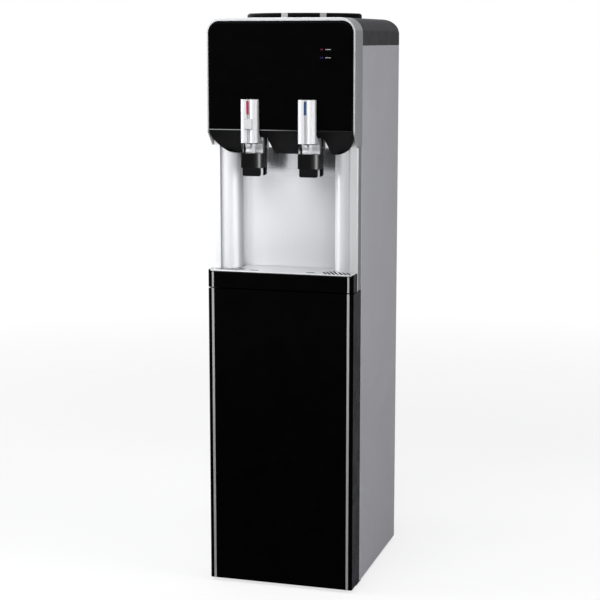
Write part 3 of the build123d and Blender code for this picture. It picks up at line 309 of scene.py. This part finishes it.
    def shade_inner(self, left, right):
        """Multiplies the base colour of faces that turn to the machine's middle, on its left and right, as
        painted shade and painted light.
        """
        turned = self.spread(self.facing("X"), 0.0, 1.0, *INNER_LEFT)
        front = self.short_of(self.facing("Y"), BACKWARD)
        self.shade_where(self.both(self.both(turned, front), self.short_of(self.along("X"), 0.0)), left)
        turned = self.spread(self.facing("X"), 1.0, 0.0, *INNER_RIGHT)
        return self.shade_where(self.both(turned, self.beyond(self.along("X"), 0.0)), right)

    def shade_hollows(self, share, reach, low):
        """Paints shade into grooves narrower than a reach, above a height, and dulls them."""
        hollow = self.node("ShaderNodeAmbientOcclusion", samples=8, only_local=True)
        hollow.inputs["Distance"].default_value = reach
        depth = self.spread(hollow.outputs["AO"], 1.0, 0.0, *GROOVE_OPEN)
        groove = self.both(depth, self.beyond(self.along("Z"), low))
        return self.dull_where(groove).shade_where(groove, share)

    def shade_cuts(self, share, front):
        """Paints shade on upright faces that lie behind a front plane, and dulls them."""
        upright = self.both(self.short_of(self.facing("Z"), STEEP), self.beyond(self.facing("Z"), -STEEP))
        walls = self.both(upright, self.beyond(self.along("Y"), front))
        return self.dull_where(walls).shade_where(walls, share)

    def painted_light_across(self, left, right, reach):
        """Paints light that falls off from the machine's left to its right, as a share of the base colour."""
        self.tint(self.spread(self.along("X"), left, right, -reach, reach))
        return self

    def painted_highlight_across(self, left, right, low, stops):
        """Paints a highlight on the front faces above a height, as greys that run across the piece."""
        ramp = self.node("ShaderNodeValToRGB")
        place = self.spread(self.along("X"), 0.0, 1.0, left, right)
        self.link(place, ramp.inputs["Fac"])
        points = ramp.color_ramp.elements
        while len(points) < len(stops):
            points.new(1.0)
        for point, (where, grey) in zip(points, stops):
            point.position = where
            point.color = (grey, grey, grey, 1.0)
        mask = self.both(self.short_of(self.facing("Y"), -STEEP), self.beyond(self.along("Z"), low))
        mixed = self.node("ShaderNodeMix", data_type="RGBA")
        base = self.surface.inputs["Base Color"]
        self.link(mask, mixed.inputs["Factor"])
        self.link(base.links[0].from_socket, mixed.inputs["A"])
        self.link(ramp.outputs["Color"], mixed.inputs["B"])
        self.link(mixed.outputs["Result"], base)
        return self

    def tint(self, share):
        """Multiplies what feeds the base colour by a varying share."""
        tint = self.node("ShaderNodeVectorMath", operation="SCALE")
        base = self.surface.inputs["Base Color"]
        self.link(base.links[0].from_socket, tint.inputs[0])
        self.link(share, tint.inputs["Scale"])
        self.link(tint.outputs[0], base)

    def bump(self, source, height, strength=1.0):
        """Raises the surface by a pattern, with its height in metres."""
        bump = self.node("ShaderNodeBump")
        bump.inputs["Strength"].default_value = strength
        bump.inputs["Distance"].default_value = height
        self.link(source, bump.inputs["Height"])
        if self.last_bump is None:
            soft = self.node("ShaderNodeBevel", samples=4)
            soft.inputs["Radius"].default_value = EDGE_RADIUS
            self.last_bump = soft.outputs["Normal"]
        self.link(self.last_bump, bump.inputs["Normal"])
        self.last_bump = bump.outputs["Normal"]
        self.link(self.last_bump, self.surface.inputs["Normal"])
        return self


# Materials

def gloss_black():
    """Piano-black moulding with a faint orange peel, greyer on its sides by painted light."""
    s = Shader("gloss_black", (0.0009, 0.0009, 0.001), 0.09, specular=0.012)
    s.vary_roughness(s.noise(9, 4), 0.03)
    s.vary_colour(s.noise(30, 3), 0.25)
    # Painted light on the side faces
    s.shade_sides(GLOSS_SIDE_LIGHT)
    return s.bump(s.noise(220, 2), 0.00002, 0.25).material


def satin_black(name="satin_black", colour=(0.005, 0.005, 0.0055), roughness=0.38, specular=0.11):
    """Black moulding with a fine spark-eroded grain."""
    s = Shader(name, colour, roughness, specular=specular)
    s.vary_roughness(s.noise(40, 4), 0.06)
    s.vary_colour(s.noise(260, 2), 0.2)
    return s.bump(s.noise(2400, 2), 0.00004, 0.5).material


def grey_cover():
    """Grained grey moulding, with painted shade on its sides."""
    s = Shader("grey_cover", (0.040, 0.040, 0.043), 0.45, specular=0.35)
    s.vary_roughness(s.noise(30, 3), 0.05)
    s.vary_colour(s.noise(700, 2), 0.12)
    # Painted shade on the side faces
    s.shade_sides(COVER_SIDE_SHADE)
    return s.bump(s.noise(2200, 2), 0.00005, 0.55).material


def silver_flake(name, colour, roughness, metallic, side=1.0, fade=0.0, shade=None):
    """Moulding sprayed with metallic silver, fine flakes under a thin clear coat."""
    s = Shader(name, colour, roughness, metallic)
    s.set("Coat Weight", 0.25).set("Coat Roughness", 0.12)
    s.vary_colour(s.cells(5200), 0.02)
    # Painted shade on the outer sides, painted light falling off to the right, and the piece's own painted
    # light and shade
    if side < 1:
        s.shade_sides(side)
    if fade:
        s.painted_light_across(1 + fade, 1 - fade, HALF_WIDTH)
    if shade:
        shade(s)
    s.vary_roughness(s.noise(24, 4), 0.04)
    return s.bump(s.noise(600, 2), 0.00002, 0.25).material


def lever_light_and_shade(s):
    """Painted shade in the grooves, painted light on the hub and painted shade on the right edge."""
    hub_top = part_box("hot_lever")[0].z + HUB_HEIGHT
    s.shade_hollows(GROOVE_SHADE, GROOVE_REACH, hub_top)
    s.shade_where(s.short_of(s.along("Z"), hub_top), HUB_PAINTED_LIGHT)
    s.shade_where(s.spread(s.facing("X"), 0.0, 1.0, *EDGE_TURN), LEVER_EDGE_SHADE)


def pillar_light_and_shade(s):
    """Painted shade on the left column's inner edge and painted light on the right column's."""
    s.shade_inner(COLUMN_SHADE, COLUMN_PAINTED_LIGHT)


def deck_shade(s):
    """Painted shade on the walls in the slots, and a dark lower half of the lip."""
    low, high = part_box("drip_grille")
    s.shade_cuts(SLOT_SHADE, low.y + LIP_DEPTH)
    below = s.both(s.short_of(s.facing("Z"), STEEP), s.short_of(s.along("Z"), (low.z + high.z) / 2))
    s.shade_where(below, LIP_SHADE)


def painted_sheet():
    """Steel sheet in silver-grey powder paint."""
    s = Shader("painted_sheet", (0.410, 0.408, 0.434), 0.42, metallic=0.35)
    s.vary_colour(s.cells(4200), 0.05)
    s.vary_roughness(s.noise(16, 4), 0.05)
    return s.bump(s.noise(900, 3), 0.00003, 0.35).material


def brushed(name, colour, roughness, along, metallic=0.95, drawn=0.06, fade=0.0, reach=0.1):
    """Metal with fine drawn lines along one axis."""
    s = Shader(name, colour, roughness, metallic)
    stretch = tuple(LINES_ALONG if axis == along else LINES_ACROSS for axis in "xyz")
    lines = s.noise(1.0, 3, 0.6, stretch)
    s.vary_colour(lines, drawn)
    s.vary_roughness(lines, drawn)
    # Painted light falling off from left to right
    if fade:
        s.painted_light_across(1 + fade, 1 - fade, reach)
    return s.bump(lines, 0.00001, 4 * drawn).material


def splash_plate():
    """Pale plate with fine upright lines, painted light that dims to its right and below, and more polished
    near its top.
    """
    s = Shader("splash_metal", (0.72, 0.725, 0.745), 0.18)
    lines = s.noise(1.0, 3, 0.6, (LINES_ACROSS, LINES_ACROSS, LINES_ALONG))
    s.vary_colour(lines, 0.012)
    s.vary_roughness(lines, 0.012)
    # Painted light falling off to the right and downwards
    s.painted_light_across(*SPLASH_LIGHT_ACROSS, SPLASH_REACH)
    s.tint(s.spread(s.along("Z"), *SPLASH_LIGHT_UP, *SPLASH_RISE))
    s.link(s.spread(s.along("Z"), *SPLASH_METAL, *SPLASH_POLISH), s.surface.inputs["Metallic"])
    return s.bump(lines, 0.00001, 0.05).material


def tap_black(name, node):
    """Black moulding whose front has a painted highlight near its right edge."""
    low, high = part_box(node)
    s = Shader(name, (0.003, 0.003, 0.0035), 0.3, specular=0.1)
    s.vary_roughness(s.noise(40, 4), 0.06)
    s.vary_colour(s.noise(260, 2), 0.2)
    s.painted_highlight_across(low.x, high.x, low.z + NOZZLE_HEIGHT, TAP_PAINTED_HIGHLIGHT)
    return s.bump(s.noise(2400, 2), 0.00003, 0.4).material


def plain_plastic(name, colour, roughness):
    """Plain moulding with a fine grain."""
    s = Shader(name, colour, roughness, specular=0.45)
    s.vary_colour(s.noise(60, 4), 0.05)
    s.vary_roughness(s.noise(35, 4), 0.05)
    return s.bump(s.noise(1200, 2), 0.00003, 0.3).material


def rubber():
    """Dull black rubber."""
    s = Shader("rubber", (0.014, 0.014, 0.014), 0.72, specular=0.3)
    s.vary_colour(s.noise(90, 5), 0.3)
    s.vary_roughness(s.noise(50, 4), 0.08)
    return s.bump(s.noise(1600, 3), 0.00006, 0.5).material


def silicone():
    """Milky soft tube."""
    s = Shader("silicone", (0.72, 0.72, 0.70), 0.5)
    s.set("Subsurface Weight", 0.2).set("Subsurface Radius", (0.004, 0.004, 0.004))
    s.vary_colour(s.noise(120, 3), 0.04)
    return s.bump(s.noise(900, 2), 0.00003, 0.2).material


def foam():
    """Pale insulating foam with open cells."""
    s = Shader("foam", (0.72, 0.68, 0.56), 0.85, specular=0.2)
    s.vary_colour(s.noise(70, 6), 0.12)
    return s.bump(s.cells(700), 0.0004, 0.5).material


def copper():
    """Drawn copper, a little stained."""
    s = Shader("copper", (0.72, 0.36, 0.22), 0.32, metallic=1.0)
    s.vary_colour(s.noise(60, 5), 0.2)
    s.vary_roughness(s.noise(90, 4), 0.1)
    return s.bump(s.noise(400, 2), 0.00002, 0.2).material


def zinc():
    """Galvanised sheet with its patchwork of crystals."""
    s = Shader("zinc", (0.46, 0.47, 0.48), 0.4, metallic=0.85)
    s.vary_colour(s.cells(110), 0.14)
    s.vary_roughness(s.cells(140), 0.08)
    return s.bump(s.noise(500, 2), 0.00002, 0.2).material


def black_enamel():
    """Thick black enamel on steel."""
    s = Shader("black_enamel", (0.012, 0.012, 0.012), 0.3, specular=0.45)
    s.vary_roughness(s.noise(40, 4), 0.08)
    s.vary_colour(s.noise(55, 5), 0.3)
    return s.bump(s.noise(700, 3), 0.00004, 0.4).material


def lamp_lens(name, colour, glow):
    """Tinted window over a lit lamp."""
    s = Shader(name, colour, 0.12, specular=0.12)
    s.set("Emission Color", (*colour, 1.0)).set("Emission Strength", glow)
    s.vary_roughness(s.noise(400, 2), 0.04)
    return s.bump(s.noise(3000, 2), 0.00002, 0.2).material


def circuit_board():
    """Green board with small parts."""
    s = Shader("circuit_board", (0.015, 0.16, 0.06), 0.35)
    s.vary_colour(s.cells(900), 0.25)
    return s.bump(s.cells(900), 0.00003, 0.4).material


SILVER = silver_flake("silver_flake", (0.62, 0.625, 0.64), 0.42, 0.35, shade=lever_light_and_shade)
FRAME_SILVER = silver_flake("frame_silver", (0.44, 0.445, 0.455), 0.38, 0.5, 0.74, 0.05)
PILLAR_SILVER = silver_flake("pillar_silver", (0.66, 0.665, 0.68), 0.42, 0.3, 0.42, 0.31, pillar_light_and_shade)
DECK_SILVER = silver_flake("deck_silver", (0.58, 0.585, 0.595), 0.40, 0.4, fade=0.18, shade=deck_shade)
BUTTON_SILVER = silver_flake("button_silver", (0.50, 0.515, 0.505), 0.45, 0.2)
GLOSS_BLACK = gloss_black()
SATIN_BLACK = satin_black()
SHEET = painted_sheet()
TRIM = brushed("brushed_trim", (0.44, 0.44, 0.445), 0.36, "z", 0.6)
# The panel line's painted light fades out towards its right
PANEL_LINE = brushed("panel_line", (0.13, 0.13, 0.135), 0.36, "x", 0.6, fade=0.97, reach=0.05)
SPLASH = splash_plate()
STEEL = brushed("steel", (0.56, 0.56, 0.57), 0.32, "x")
WHITE = plain_plastic("white_plastic", (0.76, 0.76, 0.75), 0.4)
LIGHT = plain_plastic("clip_plastic", (0.28, 0.28, 0.283), 0.45)
RED = plain_plastic("red_plastic", (0.37, 0.004, 0.04), 0.3)
BLUE = plain_plastic("blue_plastic", (0.006, 0.04, 0.14), 0.3)
RUBBER = rubber()
SILICONE = silicone()
ZINC = zinc()
COPPER = copper()
ENAMEL = black_enamel()

FINISH = {
    "base_pan": ZINC,
    "rubber_feet": RUBBER,
    "left_side_panel": SHEET,
    "right_side_panel": SHEET,
    "rear_panel": SHEET,
    "cabinet_liner": WHITE,
    "lower_hinge": STEEL,
    "upper_hinge_pin": STEEL,
    "door_shell": GLOSS_BLACK,
    "door_grip": SATIN_BLACK,
    "door_trims": TRIM,
    "door_liner": WHITE,
    "door_gasket": RUBBER,
    "tray_shelf": SATIN_BLACK,
    "left_pillar": PILLAR_SILVER,
    "right_pillar": PILLAR_SILVER,
    "splash_panel": SPLASH,
    "drip_tray": GLOSS_BLACK,
    "tray_trims": TRIM,
    "drip_grille": DECK_SILVER,
    "head_frame": FRAME_SILVER,
    "front_panel": GLOSS_BLACK,
    "hot_indicator": lamp_lens("hot_lens", (0.06, 0.004, 0.009), 0.05),
    "cold_indicator": lamp_lens("cold_lens", (0.005, 0.004, 0.075), 0.05),
    "indicator_board": circuit_board(),
    "panel_trim": PANEL_LINE,
    "visor": SATIN_BLACK,
    "top_cover": grey_cover(),
    "bottle_seat": satin_black("seat_black", (0.003, 0.003, 0.0032), 0.35, 0.015),
    "seat_clips": LIGHT,
    "hot_tap_body": tap_black("hot_tap_black", "hot_tap_body"),
    "cold_tap_body": tap_black("cold_tap_black", "cold_tap_body"),
    "tap_nuts": WHITE,
    "tap_pivot_pins": STEEL,
    "hot_lever": SILVER,
    "cold_lever": SILVER,
    "hot_strip": RED,
    "cold_strip": BLUE,
    "hot_safety_button": BUTTON_SILVER,
    "hot_valve": RUBBER,
    "cold_valve": RUBBER,
    "tank_shelf": ZINC,
    "heater_shelf": ZINC,
    "cold_tank": STEEL,
    "evaporator_coil": COPPER,
    "tank_insulation": foam(),
    "hot_tank": STEEL,
    "heater_band": STEEL,
    "cold_hose": SILICONE,
    "hot_hose": SILICONE,
    "compressor": ENAMEL,
    "compressor_mounts": RUBBER,
    "condenser": ENAMEL,
    "refrigerant_lines": COPPER,
    "mains_inlet": SATIN_BLACK,
    "switch_bezels": SATIN_BLACK,
    "hot_switch": RED,
    "cold_switch": BLUE,
    "drain_pipe": SILICONE,
    "drain_cap": RUBBER,
}


def dress_nodes():
    """Gives each solid its finish."""
    for name, obj in nodes.items():
        obj.data.materials.clear()
        obj.data.materials.append(FINISH[name])


# Small pieces

def add_piece(name, bm, materials, body):
    """Turns a finished shape into an object that rides on a body."""
    mesh = bpy.data.meshes.new(name)
    bmesh.ops.recalc_face_normals(bm, faces=bm.faces)
    bm.to_mesh(mesh)
    bm.free()
    for material in materials:
        mesh.materials.append(material)
    piece = bpy.data.objects.new(name, mesh)
    bpy.context.scene.collection.objects.link(piece)
    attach(piece, body)
    return piece


def lathe(bm, profile, place, segments=24):
    """Spins a profile of (radius, height) pairs round the z axis of a place matrix."""
    rings = []
    for radius, height in profile:
        if radius == 0:
            rings.append([bm.verts.new(place @ Vector((0, 0, height)))])
            continue
        turns = [2 * math.pi * i / segments for i in range(segments)]
        spots = [Vector((radius * math.cos(a), radius * math.sin(a), height)) for a in turns]
        rings.append([bm.verts.new(place @ spot) for spot in spots])
    for low, high in zip(rings, rings[1:]):
        for i in range(segments):
            j = (i + 1) % segments
            corners = [low[i % len(low)], low[j % len(low)], high[j % len(high)], high[i % len(high)]]
            bm.faces.new(list(dict.fromkeys(corners))).smooth = True


def bar(bm, size, place, material=0):
    """A flat bar with chamfered upper edges, centred on a place matrix and standing on it."""
    x, y, z = size[0] / 2, size[1] / 2, size[2]
    cut = 0.3 * min(x, y, z)
    rings = []
    for reach, height in ((0, -z), (0, z - cut), (cut, z)):
        wide, deep = x - reach, y - reach
        corners = [(-wide, -deep), (wide, -deep), (wide, deep), (-wide, deep)]
        rings.append([bm.verts.new(place @ Vector((*corner, height))) for corner in corners])
    for low, high in zip(rings, rings[1:]):
        for i in range(4):
            bm.faces.new((low[i], low[(i + 1) % 4], high[(i + 1) % 4], high[i])).material_index = material
    for ring in (rings[0], rings[-1]):
        bm.faces.new(ring).material_index = material


def screw(bm, place, radius):
    """A pan-head screw whose cross recess is painted shade: a dark cross on its crown."""
    lathe(bm, [(radius * out, radius * up) for out, up in SCREW_HEAD], place)
    for turn in (0, math.pi / 2):
        spot = place @ Matrix.Translation((0, 0, SCREW_CROWN * radius)) @ Matrix.Rotation(turn, 4, "Z")
        bar(bm, [radius * share for share in SCREW_CROSS], spot, 1)


def prism(bm, outline, low, high):
    """An upright prism over a plan given as (x, y) pairs."""
    rings = [[bm.verts.new((x, y, z)) for x, y in outline] for z in (low, high)]
    bm.faces.new(rings[0][::-1])
    bm.faces.new(rings[1])
    for i in range(len(outline)):
        j = (i + 1) % len(outline)
        bm.faces.new((rings[0][i], rings[0][j], rings[1][j], rings[1][i]))


def slot_plan(start, heading, length, width, side):
    """A slot with round ends in plan, mirrored for the left side."""
    plan = []
    for reach, turn in ((length, heading), (0.0, heading + math.pi)):
        centre = (start[0] + reach * math.cos(heading), start[1] + reach * math.sin(heading))
        for step in range(ARC_STEPS + 1):
            angle = turn - math.pi / 2 + math.pi * step / ARC_STEPS
            plan.append((centre[0] + width / 2 * math.cos(angle), centre[1] + width / 2 * math.sin(angle)))
    return [(side * x, y) for x, y in (plan if side > 0 else plan[::-1])]


def slot_length(start, heading, longest):
    """How far a slot runs before it comes near the column."""
    length = 0.0
    while length < longest:
        spot = Vector((start[0] + length * math.cos(heading), start[1] + length * math.sin(heading)))
        if (spot - Vector(COLUMN_PLACE)).length < COLUMN_RADIUS + COLUMN_GAP:
            break
        length += SLOT_STEP
    return length


def corner_plan(corner, radius, side):
    """What lies outside a rounded front corner of the deck, in plan."""
    x, y = corner
    plan = [(x + CORNER_PAST, y - CORNER_PAST), (x + CORNER_PAST, y + radius)]
    for step in range(ARC_STEPS + 1):
        angle = math.pi / 2 * step / ARC_STEPS
        plan.append((x - radius + radius * math.cos(angle), y + radius - radius * math.sin(angle)))
    plan.append((x - radius, y - CORNER_PAST))
    return [(side * px, py) for px, py in (plan if side < 0 else plan[::-1])]


def slotted_deck():
    """The deck with rounder front corners and slots that run from its front rim back to the columns."""
    (_, front, low), (wide, _, high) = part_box("drip_grille")
    span = (low - CUT_PAST, high + CUT_PAST)
    cuts = bmesh.new()
    heading = math.pi / 2 + SLOT_SLANT
    for side in (-1, 1):
        for number in range(SLOT_COUNT):
            start = (HALF_WIDTH - SLOT_SIDE - number * SLOT_PITCH, front + SLOT_FRONT)
            length = slot_length(start, heading, SLOT_REACH - number * SLOT_FALL)
            prism(cuts, slot_plan(start, heading, length, SLOT_WIDTH, side), *span)
        prism(cuts, corner_plan((wide, front), DECK_CORNER, side), *span)
    bmesh.ops.recalc_face_normals(cuts, faces=cuts.faces)
    blank = bmesh.new()
    blank.from_mesh(nodes["drip_grille"].data)
    bmesh.ops.remove_doubles(blank, verts=blank.verts, dist=WELD)
    helpers = []
    for name, bm in (("deck_blank", blank), ("deck_cuts", cuts)):
        mesh = bpy.data.meshes.new(name)
        bm.to_mesh(mesh)
        bm.free()
        helpers.append(bpy.data.objects.new(name, mesh))
        bpy.context.scene.collection.objects.link(helpers[-1])
    cut = helpers[0].modifiers.new("slots", "BOOLEAN")
    cut.operation = "DIFFERENCE"
    cut.solver = "EXACT"
    cut.object = helpers[1]
    shaped = bmesh.new()
    shaped.from_object(helpers[0], bpy.context.evaluated_depsgraph_get())
    for helper in helpers:
        mesh = helper.data
        bpy.data.objects.remove(helper)
        bpy.data.meshes.remove(mesh)
    piece = add_piece("slotted_deck", shaped, [DECK_SILVER], "grille")
    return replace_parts(piece, "drip_grille")


def back_screws():
    """Screws down both edges of the rear panel."""
    (low_x, _, low_z), (high_x, back, high_z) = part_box("rear_panel")
    facing = Matrix.Rotation(-math.pi / 2, 4, "X")
    bm = bmesh.new()
    for x in (low_x + SCREW_INSET, high_x - SCREW_INSET):
        for share in SCREW_HEIGHTS:
            z = low_z + share * (high_z - low_z)
            screw(bm, Matrix.Translation((x, back, z)) @ facing, SCREW_RADIUS)
    add_piece("back_screws", bm, (STEEL, SATIN_BLACK), "cabinet")


def light_marks():
    """A plain pale dash beside each indicator light."""
    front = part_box("front_panel")[0].y
    facing = Matrix.Rotation(math.pi / 2, 4, "X")
    bm = bmesh.new()
    for name in ("hot_indicator", "cold_indicator"):
        low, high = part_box(name)
        spot = Vector((high.x + MARK_GAP + MARK_SIZE[0] / 2, front, (low.z + high.z) / 2))
        bar(bm, MARK_SIZE, Matrix.Translation(spot) @ facing)
    add_piece("light_marks", bm, (LIGHT,), "cabinet")


# Studio and camera

def make_camera():
    """The camera that took the photograph, as fitted."""
    camera = bpy.data.objects.new("camera", bpy.data.cameras.new("camera"))
    bpy.context.scene.collection.objects.link(camera)
    camera.data.sensor_width = CAMERA_SENSOR
    camera.data.lens = CAMERA_LENS
    camera.data.clip_end = CAMERA_FAR
    camera.location = CAMERA_PLACE
    level = math.cos(CAMERA_DIP)
    ahead = Vector((-math.sin(CAMERA_TURN) * level, math.cos(CAMERA_TURN) * level, -math.sin(CAMERA_DIP)))
    camera.rotation_mode = "QUATERNION"
    camera.rotation_quaternion = ahead.to_track_quat("-Z", "Y")
    bpy.context.scene.camera = camera


def make_lamp(name, place, aim, size, power):
    """A soft rectangular lamp turned to its aim."""
    lamp = bpy.data.lights.new(name, "AREA")
    lamp.shape = "RECTANGLE"
    lamp.size, lamp.size_y = size
    lamp.energy = power
    obj = bpy.data.objects.new(name, lamp)
    bpy.context.scene.collection.objects.link(obj)
    obj.location = place
    obj.visible_camera = False
    obj.rotation_mode = "QUATERNION"
    obj.rotation_quaternion = (Vector(aim) - Vector(place)).to_track_quat("-Z", "Y")


def wire(tree, pairs):
    """Links each source socket to its target."""
    for source, target in pairs:
        tree.links.new(source, target)


def floor_material():
    """Pale matt paint that glows a little to the camera and fades out towards the rim."""
    material = bpy.data.materials.new("floor")
    material.use_nodes = True
    tree = material.node_tree
    tree.nodes.clear()
    node = tree.nodes.new
    path = node("ShaderNodeLightPath")
    diffuse = node("ShaderNodeBsdfDiffuse")
    tone = node("ShaderNodeMapRange")
    tone.inputs["To Min"].default_value = FLOOR_PALE
    tone.inputs["To Max"].default_value = FLOOR_MIRRORED
    glow = node("ShaderNodeEmission")
    lit = node("ShaderNodeMixShader")
    share = node("ShaderNodeMath")
    share.operation = "MULTIPLY"
    share.inputs[1].default_value = FLOOR_GLOW
    coords = node("ShaderNodeTexCoord")
    length = node("ShaderNodeVectorMath")
    length.operation = "LENGTH"
    fade = node("ShaderNodeMapRange")
    fade.inputs["From Min"].default_value, fade.inputs["From Max"].default_value = FLOOR_FADE
    clear = node("ShaderNodeBsdfTransparent")
    out = node("ShaderNodeOutputMaterial")
    blend = node("ShaderNodeMixShader")
    wire(tree, (
        (path.outputs["Is Glossy Ray"], tone.inputs["Value"]),
        (tone.outputs["Result"], diffuse.inputs["Color"]),
        (path.outputs["Is Camera Ray"], share.inputs[0]),
        (share.outputs[0], lit.inputs["Fac"]),
        (diffuse.outputs[0], lit.inputs[1]),
        (glow.outputs[0], lit.inputs[2]),
        (coords.outputs["Object"], length.inputs[0]),
        (length.outputs["Value"], fade.inputs["Value"]),
        (fade.outputs["Result"], blend.inputs["Fac"]),
        (lit.outputs[0], blend.inputs[1]),
        (clear.outputs[0], blend.inputs[2]),
        (blend.outputs[0], out.inputs["Surface"]),
    ))
    return material


def make_floor():
    """A pale round floor that keeps the shadow and fades into the white background."""
    mesh = bpy.data.meshes.new("floor")
    bm = bmesh.new()
    bmesh.ops.create_circle(bm, cap_ends=True, radius=FLOOR_RADIUS, segments=FLOOR_SEGMENTS)
    bm.to_mesh(mesh)
    bm.free()
    floor = bpy.data.objects.new("floor", mesh)
    bpy.context.scene.collection.objects.link(floor)
    mesh.materials.append(floor_material())


def make_world():
    """White to the camera, an even dome for soft light, mirrored bright on the left and dark on the right."""
    world = bpy.data.worlds.new("studio")
    bpy.context.scene.world = world
    world.use_nodes = True
    tree = world.node_tree
    tree.nodes.clear()
    node = tree.nodes.new
    path = node("ShaderNodeLightPath")
    split = node("ShaderNodeSeparateXYZ")
    level = node("ShaderNodeMapRange")
    level.inputs["From Min"].default_value, level.inputs["From Max"].default_value = DOME_TURN
    level.inputs["To Min"].default_value = DOME_LEFT
    level.inputs["To Max"].default_value = DOME_RIGHT
    fill = node("ShaderNodeBackground")
    fill.inputs["Color"].default_value = DOME_COLOUR
    fill.inputs["Strength"].default_value = DOME_FILL
    mirrored = node("ShaderNodeBackground")
    mirrored.inputs["Color"].default_value = DOME_COLOUR
    white = node("ShaderNodeBackground")
    white.inputs["Color"].default_value = (1, 1, 1, 1)
    gloss = node("ShaderNodeMixShader")
    seen = node("ShaderNodeMixShader")
    out = node("ShaderNodeOutputWorld")
    coords = node("ShaderNodeTexCoord")
    wire(tree, (
        (coords.outputs["Generated"], split.inputs[0]),
        (split.outputs["X"], level.inputs["Value"]),
        (level.outputs["Result"], mirrored.inputs["Strength"]),
        (path.outputs["Is Glossy Ray"], gloss.inputs["Fac"]),
        (fill.outputs[0], gloss.inputs[1]),
        (mirrored.outputs[0], gloss.inputs[2]),
        (path.outputs["Is Camera Ray"], seen.inputs["Fac"]),
        (gloss.outputs[0], seen.inputs[1]),
        (white.outputs[0], seen.inputs[2]),
        (seen.outputs[0], out.inputs["Surface"]),
    ))


def make_studio():
    """Plain view settings, the dome, the floor and the lamps."""
    bpy.context.scene.view_settings.view_transform = "Standard"
    make_world()
    make_floor()
    for lamp in LAMPS:
        make_lamp(*lamp)


dress_nodes()
slotted_deck()
back_screws()
light_marks()
make_studio()
make_camera()
